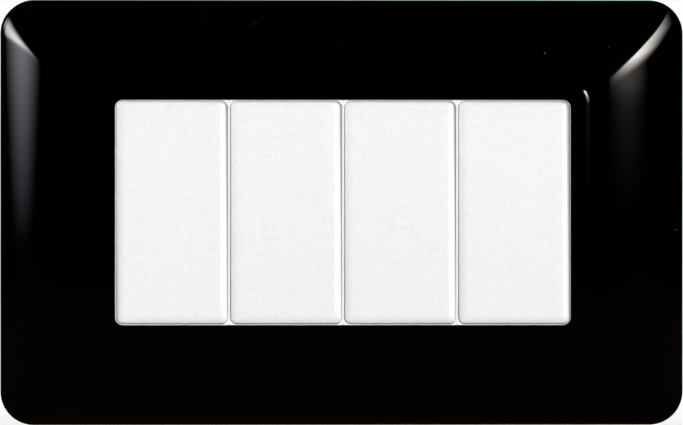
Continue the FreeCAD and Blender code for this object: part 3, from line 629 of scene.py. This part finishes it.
worked_metal("screw_steel", (0.74, 0.73, 0.68), "from_axis", scale=22000.0, roughness=0.16)
worked_metal("spring_steel", (0.66, 0.66, 0.67), "round_wire", scale=60.0, roughness=0.18)
print("finishes", len(finishes))

# %% [markdown]
# Nearly every moulding here is a stack of rounded rectangles: the plate, the keys and, with the
# corner radius as large as the half width, every round bar. So one geometry tree makes them all.
# Its input is a chain of points. Each point is the corner that an outline would have without its
# rounding, and an attribute holds the rounding. The tree bends a grid so that each row becomes one
# outline, and merges the rows' ends. A lathe or a plain offset couldn't do the plate, because its
# corner radius shrinks along the bulge.


# %% Two ends of a geometry tree
def new_tree(name, counts=(), sizes=()):
    """Empty geometry tree, and its inputs as wires by their names."""
    tree = bpy.data.node_groups.new(name, "GeometryNodeTree")
    inputs = [("Shape", "Geometry")]
    inputs += [(label, "Int") for label in counts]
    inputs += [(label, "Float") for label in sizes]
    inputs.append(("Finish", "Material"))
    for label, kind in inputs:
        tree.interface.new_socket(label, in_out="INPUT", socket_type="NodeSocket" + kind)
    tree.interface.new_socket("Shape", in_out="OUTPUT", socket_type="NodeSocketGeometry")
    given = put(tree, "NodeGroupInput")
    return tree, {socket.name: Wire(tree, socket) for socket in given.outputs if socket.name}


def close_tree(tree, shape, finish):
    """Every tree ends in plain geometry with its finish."""
    real = put(tree, "GeometryNodeRealizeInstances", (shape,)).outputs[0]
    dressed = put(tree, "GeometryNodeSetMaterial", {"Geometry": real, "Material": finish}).outputs[0]
    put(tree, "NodeGroupOutput", (dressed,))
    print(tree.name, "tree", len(tree.nodes), "nodes")


print("helpers for geometry trees:", [helper.__name__ for helper in (new_tree, close_tree)])

# %% Tree for stacks of outlines
SIDE_EASE = 0.9
MERGE_DISTANCE = 1e-6


def outline_stack_tree():
    tree, given = new_tree("outline_stack", counts=("Corner Segments", "Side Segments"))
    chain = given["Shape"]
    corner_steps, side_steps = given["Corner Segments"], given["Side Segments"]
    quarter_steps = corner_steps + side_steps
    steps = quarter_steps * 4.0
    rows = Wire(tree, put(tree, "GeometryNodeAttributeDomainSize", (chain,)).outputs["Point Count"])
    size = {"Size X": 1.0, "Size Y": 1.0, "Vertices X": steps + 1.0, "Vertices Y": rows}
    grid = put(tree, "GeometryNodeMeshGrid", size).outputs["Mesh"]
    place = put(tree, "GeometryNodeInputPosition").outputs[0]
    u, v, _ = axes_of(tree, place)
    step = ((u + 0.5) * steps).do("ROUND")
    row = ((v + 0.5) * (rows - 1.0)).do("ROUND")
    quarter = (step / quarter_steps).do("FLOOR")
    into = step - quarter * quarter_steps
    turn = (into / corner_steps).do("MINIMUM", 1.0)
    along = ((into - corner_steps) / side_steps).do("MAXIMUM", 0.0)
    eased = along - (along * (2 * math.pi)).do("SINE") * (SIDE_EASE / (2 * math.pi))

    sampled = {"Geometry": chain, "Value": place, "Index": row}
    corner = put(tree, "GeometryNodeSampleIndex", sampled, data_type="FLOAT_VECTOR").outputs[0]
    half_x, depth, half_z = axes_of(tree, corner)
    rounding = put(tree, "GeometryNodeInputNamedAttribute", ("rounding",), data_type="FLOAT").outputs[0]
    sampled = {"Geometry": chain, "Value": rounding, "Index": row}
    radius = Wire(tree, put(tree, "GeometryNodeSampleIndex", sampled, data_type="FLOAT").outputs[0])

    def on_outline(half, wave):
        """Place along one axis: the corner arc's centre moves along the side, and the arc is added."""
        here = ((quarter + 0.5) * (math.pi / 2)).do(wave) * math.sqrt(2)
        following = ((quarter + 1.5) * (math.pi / 2)).do(wave) * math.sqrt(2)
        side = here + (following - here) * eased
        return (half - radius) * side + ((quarter + turn) * (math.pi / 2)).do(wave) * radius

    x, z = on_outline(half_x, "COSINE"), on_outline(half_z, "SINE")
    points = put(tree, "ShaderNodeCombineXYZ", (x, depth, z)).outputs[0]
    bent = put(tree, "GeometryNodeSetPosition", {"Geometry": grid, "Position": points}).outputs[0]
    inputs = {"Geometry": bent, "Distance": MERGE_DISTANCE}
    closed = put(tree, "GeometryNodeMergeByDistance", inputs).outputs[0]
    smooth = put(tree, "GeometryNodeSetShadeSmooth", {"Geometry": closed}).outputs[0]
    close_tree(tree, smooth, given["Finish"])
    return tree


OUTLINE_STACK = outline_stack_tree()

# %% [markdown]
# A tree does nothing until a modifier runs it. `grown` hangs it on a passing object, sets its inputs
# by their identifiers, takes the result as a plain mesh and removes the object. `stack` hands a list
# of outlines to the outline tree, and `turned` does so for round bodies. `piece` joins meshes to one
# object that moves with a body and stands for its solids. Live modifiers would look the same, but
# joined plain meshes export as they are.


# %% Run a tree on a mesh
def grown(tree, base, **sizes):
    """Runs a geometry tree on a mesh and gives back a plain mesh."""
    holder = bpy.data.objects.new(tree.name, base)
    scene.collection.objects.link(holder)
    modifier = holder.modifiers.new(tree.name, "NODES")
    modifier.node_group = tree
    for item in tree.interface.items_tree:
        key = item.name.lower().replace(" ", "_")
        if item.in_out == "INPUT" and key in sizes:
            modifier[item.identifier] = sizes[key]
    evaluated = holder.evaluated_get(bpy.context.evaluated_depsgraph_get())
    mesh = bpy.data.meshes.new_from_object(evaluated)
    bpy.data.objects.remove(holder)
    return mesh


def stack(outlines, slot, corner_segments, side_segments):
    """Mesh through outlines of half width, half height, corner radius and depth, in millimetres."""
    chain = bpy.data.meshes.new("outline_corners")
    chain.from_pydata([(x * MM, y * MM, z * MM) for x, z, _, y in outlines], [], [])
    rounding = chain.attributes.new("rounding", "FLOAT", "POINT")
    rounding.data.foreach_set("value", [radius * MM for _, _, radius, _ in outlines])
    segments = {"corner_segments": corner_segments, "side_segments": side_segments}
    return grown(OUTLINE_STACK, chain, finish=finishes[slot], **segments)


def turned(profile, slot, corner_segments):
    """Round body along Y through pairs of radius and depth."""
    outlines = [(radius, radius, radius, depth) for radius, depth in profile]
    return stack(outlines, slot, corner_segments, side_segments=1)


def moved(mesh, matrix):
    mesh.transform(matrix)
    return mesh


def piece(name, meshes, body, slot, nodes, sharp=35.0):
    """Joins meshes to one piece that rides on a body and stands for solids."""
    joined = bmesh.new()
    for mesh in meshes:
        joined.from_mesh(mesh)
    bmesh.ops.recalc_face_normals(joined, faces=joined.faces)
    whole = bpy.data.meshes.new(name)
    joined.to_mesh(whole)
    joined.free()
    whole.materials.append(finishes[slot])
    whole.shade_smooth()
    whole.set_sharp_from_angle(angle=math.radians(sharp))
    made = bpy.data.objects.new(name, whole)
    scene.collection.objects.link(made)
    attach(made, body)
    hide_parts(*nodes)
    print(name, len(whole.polygons), "faces")
    return made


print("inputs of the outline tree", [item.name for item in OUTLINE_STACK.interface.items_tree])

# %% [markdown]
# The cover plate's section starts at the wall, goes up the steep edge and over the bulge to the
# flat, over the raised ring to the thin lip round the keys, and back inside along the window's
# collar and the inner wall. Every stretch is an arc or a straight run of outlines. Each corner that
# shows has a small rounding, as a mould gives it, because only roundings catch light. A narrow guard
# strip beside a rounding keeps its smooth shading off the flat. The lip reaches a little over the
# row of modules, so its gap is below zero.

# %% Cover plate sizes
PLATE_WIDTH, PLATE_HEIGHT, PLATE_WALL = 135.0, 84.0, 2.0
PLATE_CORNER, CROWN_CORNER = 6.7, 2.0
PLATE_FRONT, RING_FRONT, LIP_BACK, COLLAR_BACK = -8.9, -9.4, -9.05, -3.4
CROWN_RUN, CROWN_RADIUS = 15.0, 20.5577
EDGE_STRAIGHT, EDGE_ROUND, FOOT_STRIP = 2.4, 0.5, 0.1
ROW_WIDTH, MODULE_HEIGHT = 89.94, 44.5
LIP_GAP, LIP_CORNER, LIP_ROUND = -0.08, 1.52, 0.12
COLLAR_GAP, COLLAR_CORNER, COLLAR_WALL = 0.3, 0.4, 1.4
RING_WIDTH, RING_CORNER = 3.1, 4.0
RING_ROUND, RING_LEAN = 0.85, math.radians(23.0)
GUARD = 0.04
EDGE_STEPS, CROWN_STEPS, RING_STEPS, LIP_STEPS, INSIDE_STEPS = 6, 40, 8, 6, 24
STEEPEST = math.asin(CROWN_RUN / CROWN_RADIUS)
plate_low, plate_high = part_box("cover_plate")
print("plate solid", [round(side / MM, 2) for side in plate_high - plate_low], "mm")


# %% Outlines of the cover plate
def crown_outline(lean, inset=0.0):
    """Outline where the bulge leans by an angle. The inset moves it inside the wall."""
    run = inset + CROWN_RUN - CROWN_RADIUS * math.sin(lean)
    corner = PLATE_CORNER + (CROWN_CORNER - PLATE_CORNER) * run / (CROWN_RUN + PLATE_WALL)
    depth = inset + PLATE_FRONT + CROWN_RADIUS * (1 - math.cos(lean))
    return PLATE_WIDTH / 2 - run, PLATE_HEIGHT / 2 - run, corner, depth


def grow(outline, distance, depth):
    """The outline moved outwards, at another depth, with its corners kept concentric."""
    half_x, half_z, corner, _ = outline
    return half_x + distance, half_z + distance, corner + distance, depth


def round_window(gap, corner):
    """Outline at a distance round the row of modules."""
    return ROW_WIDTH / 2 + gap, MODULE_HEIGHT / 2 + gap, corner, 0.0


def quarter_turn(steps):
    """Angles from 0 to 90 degrees in equal steps."""
    return [math.pi / 2 * share for share in shares(steps)]


print("bulge leans up to", round(math.degrees(STEEPEST), 1), "degrees")


# %% Section of the cover plate
def edge_and_bulge():
    """Outlines from the wall up the edge and over the bulge to the flat."""
    edge = (PLATE_WIDTH / 2, PLATE_HEIGHT / 2, PLATE_CORNER, 0.0)
    bend = math.pi / 2 - STEEPEST
    edge_top = -EDGE_STRAIGHT + EDGE_ROUND * math.tan(bend / 2)
    section = [grow(edge, 0.0, depth) for depth in (0.0, -FOOT_STRIP, edge_top + GUARD)]
    for share in shares(EDGE_STEPS):
        inwards = EDGE_ROUND * (1 - math.cos(bend * share))
        section.append(grow(edge, -inwards, edge_top - EDGE_ROUND * math.sin(bend * share)))
    first_lean = math.asin((CROWN_RUN - EDGE_ROUND * (1 - math.cos(bend))) / CROWN_RADIUS)
    return section + [crown_outline(first_lean * (1 - share)) for share in shares(CROWN_STEPS)[1:]]


def ring_and_lip():
    """Outlines from the flat over the raised ring and round the lip."""
    ring = round_window(COLLAR_GAP + RING_WIDTH, RING_CORNER)
    leans = [RING_LEAN * share for share in shares(RING_STEPS)]
    shoulder = RING_ROUND * math.sin(RING_LEAN)
    section = [grow(ring, shoulder + GUARD, PLATE_FRONT)]
    for lean in leans:
        sideways, forwards = RING_ROUND * math.sin(lean), RING_ROUND * (1 - math.cos(lean))
        section.append(grow(ring, shoulder - sideways, PLATE_FRONT - forwards))
    for lean in reversed(leans):
        sideways, backwards = RING_ROUND * math.sin(lean), RING_ROUND * (1 - math.cos(lean))
        section.append(grow(ring, sideways - shoulder, RING_FRONT + backwards))
    section.append(grow(ring, -shoulder - GUARD, RING_FRONT))
    lip = round_window(LIP_GAP, LIP_CORNER)
    section.append(grow(lip, LIP_ROUND + GUARD, RING_FRONT))
    for angle in quarter_turn(LIP_STEPS):
        sideways, backwards = LIP_ROUND * (1 - math.sin(angle)), LIP_ROUND * (1 - math.cos(angle))
        section.append(grow(lip, sideways, RING_FRONT + backwards))
    return section + [grow(lip, 0.0, LIP_BACK)]


def collar_and_inside():
    """Outlines from the lip's back along the collar and the inner wall to the wall plane."""
    window = round_window(COLLAR_GAP, COLLAR_CORNER)
    section = [grow(window, 0.0, depth) for depth in (LIP_BACK, COLLAR_BACK)]
    section += [grow(window, COLLAR_WALL, depth) for depth in (COLLAR_BACK, PLATE_FRONT + PLATE_WALL)]
    section += [crown_outline(STEEPEST * share, PLATE_WALL) for share in shares(INSIDE_STEPS)]
    return section + [grow(section[-1], 0.0, 0.0)]


plate_section = edge_and_bulge() + ring_and_lip() + collar_and_inside()
plate_shell = stack(plate_section + plate_section[:1], "plate_black", corner_segments=24, side_segments=16)
print("plate shell", len(plate_shell.polygons), "faces")

# %% [markdown]
# Behind the bulge, six ribs brace the window's collar and four clips hold the plate on its frame.
# They repeat in two rows, so a second tree sets copies of one shape in columns and turns the lower
# row round. Mirroring would turn the copies inside out; half a turn doesn't.


# %% Tree for two rows of copies
def two_rows_tree():
    tree, given = new_tree("two_rows", counts=("Columns",), sizes=("Pitch", "Row Height"))
    columns = given["Columns"]
    size = {
        "Size X": (columns - 1.0) * given["Pitch"],
        "Size Y": given["Row Height"] * 2.0,
        "Vertices X": columns,
        "Vertices Y": 2,
    }
    grid = put(tree, "GeometryNodeMeshGrid", size).outputs["Mesh"]
    x, y, _ = axes_of(tree, put(tree, "GeometryNodeInputPosition").outputs[0])
    upright = put(tree, "ShaderNodeCombineXYZ", (x, 0.0, y)).outputs[0]
    places = put(tree, "GeometryNodeSetPosition", {"Geometry": grid, "Position": upright}).outputs[0]
    _, _, z = axes_of(tree, put(tree, "GeometryNodeInputPosition").outputs[0])
    lower = z.do("LESS_THAN", 0.0) * math.pi
    turn = put(tree, "ShaderNodeCombineXYZ", (0.0, lower, 0.0)).outputs[0]
    inputs = {"Points": places, "Instance": given["Shape"], "Rotation": turn}
    copies = put(tree, "GeometryNodeInstanceOnPoints", inputs).outputs[0]
    close_tree(tree, copies, given["Finish"])
    return tree


TWO_ROWS = two_rows_tree()


def in_two_rows(shape, slot, columns, pitch, row_height):
    """Copies of a mesh in two rows, with the sizes in millimetres."""
    sizes = {"columns": columns, "pitch": pitch * MM, "row_height": row_height * MM}
    return grown(TWO_ROWS, shape, finish=finishes[slot], **sizes)


# %% Ribs and clips
MODULE_PITCH, MODULE_COUNT = 22.5, 4
RIB_WIDTH, RIB_STEPS = 1.2, 12
CLIP_PITCH, CLIP_HEIGHT, CLIP_WIDTH, CLIP_THICKNESS = 79.94, 29.912, 8.0, 1.4
CLIP_CATCH, CLIP_TIP, CLIP_BARB = 0.2, 1.4, 0.7


def prism(profile, width):
    """Closed bar along X whose section is a list of depths and heights, in millimetres."""
    count = len(profile)
    points = [(side * width / 2 * MM, y * MM, z * MM) for side in (-1, 1) for y, z in profile]
    sides = [(n, (n + 1) % count, (n + 1) % count + count, n + count) for n in range(count)]
    ends = [tuple(range(count)), tuple(range(2 * count - 1, count - 1, -1))]
    mesh = bpy.data.meshes.new("prism")
    mesh.from_pydata(points, [], sides + ends)
    return mesh


half_wall = PLATE_WALL / 2
root = PLATE_FRONT + half_wall
rib_foot = MODULE_HEIGHT / 2 + COLLAR_GAP + COLLAR_WALL / 2
rib_lean = math.acos(1 + (root - COLLAR_BACK) / CROWN_RADIUS)
rib_curve = [crown_outline(rib_lean * share, half_wall) for share in shares(RIB_STEPS)]
rib_profile = [(COLLAR_BACK, rib_foot), (root, rib_foot)]
rib_profile += [(depth, half_z) for _, half_z, _, depth in rib_curve]
rib = moved(prism(rib_profile, RIB_WIDTH), Matrix.Translation((0, 0, -rib_foot * MM)))
inner, outer = -CLIP_THICKNESS / 2, CLIP_THICKNESS / 2
barb = [(CLIP_TIP, outer), (CLIP_CATCH, outer + CLIP_BARB), (CLIP_CATCH, outer)]
clip = prism([(root, inner), (CLIP_TIP, inner), *barb, (root, outer)], CLIP_WIDTH)
ribs = in_two_rows(rib, "plate_black", columns=MODULE_COUNT - 1, pitch=MODULE_PITCH, row_height=rib_foot)
clips = in_two_rows(clip, "plate_black", columns=2, pitch=CLIP_PITCH, row_height=CLIP_HEIGHT)
cover = piece("cover_plate_moulding", [plate_shell, ribs, clips], "housing", "plate_black", ["cover_plate"])

# %% [markdown]
# A lamp or a glowing sheet can be told which objects it lights: its receiver collection lists them.
# The plate's gloss would mirror the sun as a bright spot, so the sun's collection holds the plate
# with the state Exclude. The left panel is meant for the plate alone, so its collection holds just
# the plate. Hiding the sun from all mirror rays would take its sheen off the keys too.


# %% Light for the plate and for the rest
def receivers(name, *objects):
    """Collection of the objects that a light is linked to."""
    group = bpy.data.collections.new(name)
    for item in objects:
        group.objects.link(item)
    return group


left_panel.light_linking.receiver_collection = receivers("mirror_plate", cover)
all_but_plate = receivers("all_but_plate", cover)
all_but_plate.collection_objects[0].light_linking.link_state = "EXCLUDE"
main_lamp.light_linking.receiver_collection = all_but_plate

# %% [markdown]
# A key is a cap with soft edges, open at the back, with a tower for its spring, two ribs and two
# pivot pins. The edge runs out flatter on the face than on the side, so its outlines follow a
# quarter of an ellipse; a Bevel modifier would give an even round. The cap is a little wider and
# taller than the solid, and all keys use their side play the same way, so that the seams look as
# narrow as in the photograph. The keys rest with the top pressed in, turned about their pins.

# %% Key sizes
KEY_WIDTH, KEY_HEIGHT, KEY_CORNER = 21.83, 43.88, 1.1
KEY_FACE, KEY_UNDERSIDE, SKIRT_BACK = -8.8, -7.5, -5.1
KEY_WALL, KEY_INSIDE_CORNER = 0.95, 0.55
EDGE_ON_FACE, EDGE_ON_SIDE, CORNER_LOSS, KEY_EDGE_STEPS = 1.6, 0.6, 0.6, 14
PIVOT_Y, PIN_RADIUS, PIN_LENGTH, LOBE_RADIUS = -5.7, 0.9, 1.1, 1.5
TOWER_RADIUS, BORE_RADIUS, TOWER_BACK, BORE_END = 3.0, 2.0, 2.7, -6.5
KEY_RIB, KEY_RIB_DEPTH, KEY_RIB_CORNER = 1.2, 1.5, 0.1
ROD_BEVEL, LOBE_INSET = 0.12, 0.01
KEY_TILT = 1.4
SIDE_PLAY = 0.045
SUNK = 0.3
module_places = [(n - (MODULE_COUNT - 1) / 2) * MODULE_PITCH for n in range(MODULE_COUNT)]
print("keys at", module_places, "mm")


# %% Key cap
def seam(outline, depth):
    """An outline shrunk to the line along its middle, which closes a stack with a flat face."""
    half_x, half_z, _, _ = outline
    return 0.0, half_z - half_x, 0.0, depth


def key_cap():
    side = (KEY_WIDTH / 2, KEY_HEIGHT / 2, KEY_CORNER, 0.0)
    hollow = (KEY_WIDTH / 2 - KEY_WALL, KEY_HEIGHT / 2 - KEY_WALL, KEY_INSIDE_CORNER, 0.0)
    outlines = [seam(hollow, KEY_UNDERSIDE), grow(hollow, 0.0, KEY_UNDERSIDE), grow(hollow, 0.0, SKIRT_BACK)]
    outlines += [grow(side, 0.0, SKIRT_BACK), grow(side, 0.0, KEY_FACE + EDGE_ON_SIDE + GUARD)]
    for angle in quarter_turn(KEY_EDGE_STEPS):
        run = EDGE_ON_FACE * (1 - math.cos(angle))
        depth = KEY_FACE + EDGE_ON_SIDE * (1 - math.sin(angle))
        corner = KEY_CORNER * (1 - CORNER_LOSS * run / EDGE_ON_FACE)
        outlines.append((KEY_WIDTH / 2 - run, KEY_HEIGHT / 2 - run, corner, depth))
    flat = grow(outlines[-1], -GUARD, KEY_FACE)
    return stack(outlines + [flat, seam(flat, KEY_FACE)], "key_white", corner_segments=10, side_segments=8)


key_meshes = [key_cap()]
print("key cap", len(key_meshes[0].polygons), "faces")


# %% Tower, ribs and pins of a key
def key_tower():
    outside = [(TOWER_RADIUS, depth) for depth in (KEY_UNDERSIDE - SUNK, TOWER_BACK)]
    inside = [(BORE_RADIUS, TOWER_BACK), (BORE_RADIUS, BORE_END), (0.0, BORE_END)]
    return turned([(0.0, KEY_UNDERSIDE - SUNK), *outside, *inside], "key_white", corner_segments=12)


def key_ribs():
    half = (KEY_HEIGHT / 2 - KEY_WALL) / 2
    bar = (KEY_RIB / 2, half, KEY_RIB_CORNER, 0.0)
    front, back = KEY_UNDERSIDE - SUNK, KEY_UNDERSIDE + KEY_RIB_DEPTH
    outlines = [seam(bar, front), grow(bar, 0.0, front), grow(bar, 0.0, back), seam(bar, back)]
    rib = stack(outlines, "key_white", corner_segments=3, side_segments=2)
    return in_two_rows(rib, "key_white", columns=1, pitch=0.0, row_height=half)


def rod_across(radius, start, end):
    """Round bar with broken edges along X through the key's pivot."""
    profile = [(0.0, start), (radius - ROD_BEVEL, start), (radius, start + ROD_BEVEL)]
    profile += [(radius, end - ROD_BEVEL), (radius - ROD_BEVEL, end), (0.0, end)]
    along_x = Matrix.Rotation(-math.pi / 2, 4, "Z")
    bar = turned(profile, "key_white", corner_segments=10)
    return moved(bar, Matrix.Translation((0, PIVOT_Y * MM, 0)) @ along_x)


key_meshes += [key_tower(), key_ribs()]
key_inside = KEY_WIDTH / 2 - KEY_WALL
for side in (-1, 1):
    lobe_ends = sorted((side * key_inside, side * (KEY_WIDTH / 2 - LOBE_INSET)))
    pin_ends = sorted((side * (key_inside - PIN_LENGTH), side * (KEY_WIDTH / 2 - KEY_WALL / 2)))
    key_meshes += [rod_across(LOBE_RADIUS, *lobe_ends), rod_across(PIN_RADIUS, *pin_ends)]
print("meshes in a key", len(key_meshes))


# %% Four keys
def at_key_rest(x):
    """Turn from mid-travel to rest about the pivot, and move to a module's place."""
    pivot = Matrix.Translation(((x + SIDE_PLAY) * MM, PIVOT_Y * MM, 0))
    back = Matrix.Translation((0, -PIVOT_Y * MM, 0))
    return pivot @ Matrix.Rotation(math.radians(-KEY_TILT), 4, "X") @ back


for number, x in enumerate(module_places, 1):
    parts = [moved(mesh.copy(), at_key_rest(x)) for mesh in key_meshes]
    piece(f"rocker_{number}", parts, f"key_{number}", "key_white", [f"key_{number}"])

# %% [markdown]
# Each key hides a small compression spring. A spring is a circle swept along a helix, which is what
# two curve primitives and Curve to Mesh do. The wire's own turn is stored as an attribute for the
# drawing marks. Subdividing the solid's six-sided wire would round it too, but would shrink it.

# %% Tree for springs
COIL_STEPS, WIRE_SIDES = 40, 12


def helix(tree, radius, turns, length, steps):
    """Curve that winds round Z, with a number of steps for each turn."""
    inputs = {
        "Resolution": steps,
        "Rotations": turns,
        "Start Radius": radius,
        "End Radius": radius,
        "Height": length,
    }
    return put(tree, "GeometryNodeCurveSpiral", inputs).outputs[0]


def ring_of(tree, radius, sides):
    """Closed profile of a wire or a ridge."""
    return put(tree, "GeometryNodeCurvePrimitiveCircle", {"Resolution": sides, "Radius": radius}).outputs[0]


def swept(tree, path, profile, start=(0.0, 0.0, 0.0)):
    """Solid along a path, laid down so that the path's Z axis points along Y."""
    inputs = {"Curve": path, "Profile Curve": profile, "Fill Caps": True}
    solid = put(tree, "GeometryNodeCurveToMesh", inputs).outputs[0]
    inputs = {"Geometry": solid, "Translation": start, "Rotation": (-math.pi / 2, 0.0, 0.0)}
    return put(tree, "GeometryNodeTransform", inputs).outputs[0]


def noted(tree, shape, name, value):
    """The shape with a value kept at each point, for its finish to read."""
    inputs = {"Geometry": shape, "Name": name, "Value": value}
    return put(tree, "GeometryNodeStoreNamedAttribute", inputs, data_type="FLOAT", domain="POINT").outputs[0]


def spring_tree():
    tree, given = new_tree("spring", sizes=("Radius", "Wire", "Turns", "Length"))
    path = helix(tree, given["Radius"], given["Turns"], given["Length"], COIL_STEPS)
    round_wire = put(tree, "GeometryNodeSplineParameter").outputs["Factor"]
    profile = noted(tree, ring_of(tree, given["Wire"], WIRE_SIDES), "round_wire", round_wire)
    close_tree(tree, swept(tree, path, profile), given["Finish"])
    return tree


SPRING = spring_tree()

# %% Springs
SPRING_RADIUS, SPRING_WIRE, SPRING_TURNS = 1.45, 0.25, 4.0
SPRING_FRONT, SPRING_BACK = -6.2, -0.3
coil = grown(
    SPRING,
    bpy.data.meshes.new("spring_base"),
    radius=SPRING_RADIUS * MM,
    wire=SPRING_WIRE * MM,
    turns=SPRING_TURNS,
    length=(SPRING_BACK - SPRING_FRONT) * MM,
    finish=finishes["spring_steel"],
)
moved(coil, Matrix.Translation((0, SPRING_FRONT * MM, 0)))
for number, x in enumerate(module_places, 1):
    rest = at_key_rest(x)
    parts = [moved(coil.copy(), rest)]
    spring = piece(f"snap_spring_{number}", parts, f"key_{number}", "spring_steel", [f"spring_{number}"])
    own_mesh(spring)

# %% [markdown]
# The eight terminal screws are a turned body, a thread and a slot in the head. The body is a stack
# of circles; its tree cuts the slot with a Boolean, winds a four-sided ridge round the core for
# the thread, and notes each point's distance from the axis for the lathe marks. Copies then go to
# their places with the same two-row tree as the ribs. A bump could draw the thread, but not its
# outline.

# %% Body of a terminal screw
SCREW_FRONT, HEAD_FRONT, HEAD_BACK = 9.0, 14.95, 17.15
HEAD_RADIUS, HEAD_BEVEL, HEAD_EDGE, BEVEL_STEPS = 2.9, 0.4, 0.1, 5
THREAD_RADIUS, THREAD_DEPTH, TIP_BEVEL = 1.7, 0.25, 0.3
CORE_RADIUS = THREAD_RADIUS - THREAD_DEPTH


def screw_body():
    tip = [(0.0, SCREW_FRONT), (CORE_RADIUS - TIP_BEVEL, SCREW_FRONT), (CORE_RADIUS, SCREW_FRONT + TIP_BEVEL)]
    neck = [(CORE_RADIUS, HEAD_FRONT), (HEAD_RADIUS - HEAD_EDGE, HEAD_FRONT)]
    head = [(HEAD_RADIUS, HEAD_FRONT + HEAD_EDGE)]
    for angle in quarter_turn(BEVEL_STEPS):
        radius = HEAD_RADIUS - HEAD_BEVEL * (1 - math.cos(angle))
        head.append((radius, HEAD_BACK - HEAD_BEVEL * (1 - math.sin(angle))))
    return turned([*tip, *neck, *head, (0.0, HEAD_BACK)], "screw_steel", corner_segments=12)


screw_blank = screw_body()
print("screw body", len(screw_blank.polygons), "faces")

# %% Tree for slot and thread
THREAD_STEPS, THREAD_SIDES = 24, 4


def screw_tree():
    slot_sizes = ("Slot Width", "Slot Depth", "Slot Length", "Head Back")
    thread_sizes = ("Core", "Ridge", "Pitch", "Thread From", "Thread To")
    tree, given = new_tree("terminal_screw", sizes=slot_sizes + thread_sizes)
    sides = (given["Slot Length"], given["Slot Depth"] * 2.0, given["Slot Width"])
    slot_size = put(tree, "ShaderNodeCombineXYZ", sides).outputs[0]
    block = put(tree, "GeometryNodeMeshCube", {"Size": slot_size}).outputs["Mesh"]
    slot_place = put(tree, "ShaderNodeCombineXYZ", (0.0, given["Head Back"], 0.0)).outputs[0]
    cutter = put(tree, "GeometryNodeTransform", {"Geometry": block, "Translation": slot_place}).outputs[0]
    inputs = {"Mesh 1": given["Shape"], "Mesh 2": cutter}
    slotted = put(tree, "GeometryNodeMeshBoolean", inputs, operation="DIFFERENCE").outputs["Mesh"]

    length = given["Thread To"] - given["Thread From"]
    path = helix(tree, given["Core"], length / given["Pitch"], length, THREAD_STEPS)
    level = put(tree, "GeometryNodeSetCurveNormal", {"Curve": path}, mode="Z_UP").outputs[0]
    start = put(tree, "ShaderNodeCombineXYZ", (0.0, given["Thread From"], 0.0)).outputs[0]
    ridge = swept(tree, level, ring_of(tree, given["Ridge"], THREAD_SIDES), start)

    joined = put(tree, "GeometryNodeJoinGeometry")
    for part in (slotted, ridge):
        tree.links.new(part, joined.inputs[0])
    x, _, z = axes_of(tree, put(tree, "GeometryNodeInputPosition").outputs[0])
    marked = noted(tree, joined.outputs[0], "from_axis", (x * x + z * z).do("SQRT"))
    close_tree(tree, marked, given["Finish"])
    return tree


TERMINAL_SCREW = screw_tree()

# %% Eight terminal screws
TERMINAL_HEIGHT = 14.6
SLOT_WIDTH, SLOT_DEPTH, SLOT_REACH = 0.8, 1.1, 2.2
THREAD_PITCH, THREAD_LEAD, THREAD_RUNOUT = 0.7, 0.4, 0.3
screw = grown(
    TERMINAL_SCREW,
    screw_blank,
    slot_width=SLOT_WIDTH * MM,
    slot_depth=SLOT_DEPTH * MM,
    slot_length=SLOT_REACH * HEAD_RADIUS * MM,
    head_back=HEAD_BACK * MM,
    core=CORE_RADIUS * MM,
    ridge=THREAD_DEPTH * MM,
    pitch=THREAD_PITCH * MM,
    thread_from=(SCREW_FRONT + THREAD_LEAD) * MM,
    thread_to=(HEAD_FRONT - THREAD_RUNOUT) * MM,
    finish=finishes["screw_steel"],
)
screws = in_two_rows(
    screw, "screw_steel", columns=MODULE_COUNT, pitch=MODULE_PITCH, row_height=TERMINAL_HEIGHT
)
piece("terminal_screw_set", [screws], "housing", "screw_steel", ["terminal_screws"], sharp=28.0)

# %% [markdown]
# The other solids already have their final shape, so they keep their meshes and only get a finish.
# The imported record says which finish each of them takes. Rebuilding them would add nothing that
# anyone could see.

# %% Finishes for the solids that stay
dressed = 0
for part in frame["record"]["subparts"]:
    solid = frame["nodes"][part["node"]]
    solid.data.materials.clear()
    solid.data.materials.append(finishes[part["material_slot"]])
    dressed += not solid.hide_render
print("solids dressed", dressed)

# %% [markdown]
# The white rims lie deep between the plate's lip and the keys, where little of the light arrives. In
# the photo they are nearly as bright as the keys. So a weak lamp shines on them straight from the
# front, and light linking keeps it off everything else. A paler finish couldn't do it, as they are
# nearly white already.

# %% Rim lamp
RIM_PLACE, RIM_POWER = (0.0, -1.0, 0.0), 0.65
rim_lamp = lamp_towards_plate("rim_lamp", "SUN", RIM_PLACE, RIM_POWER)
fronts = [frame["nodes"][f"module_front_{number}"] for number in range(1, MODULE_COUNT + 1)]
rim_lamp.light_linking.receiver_collection = receivers("rims", *fronts)
print("rim lamp for", len(fronts), "module fronts")
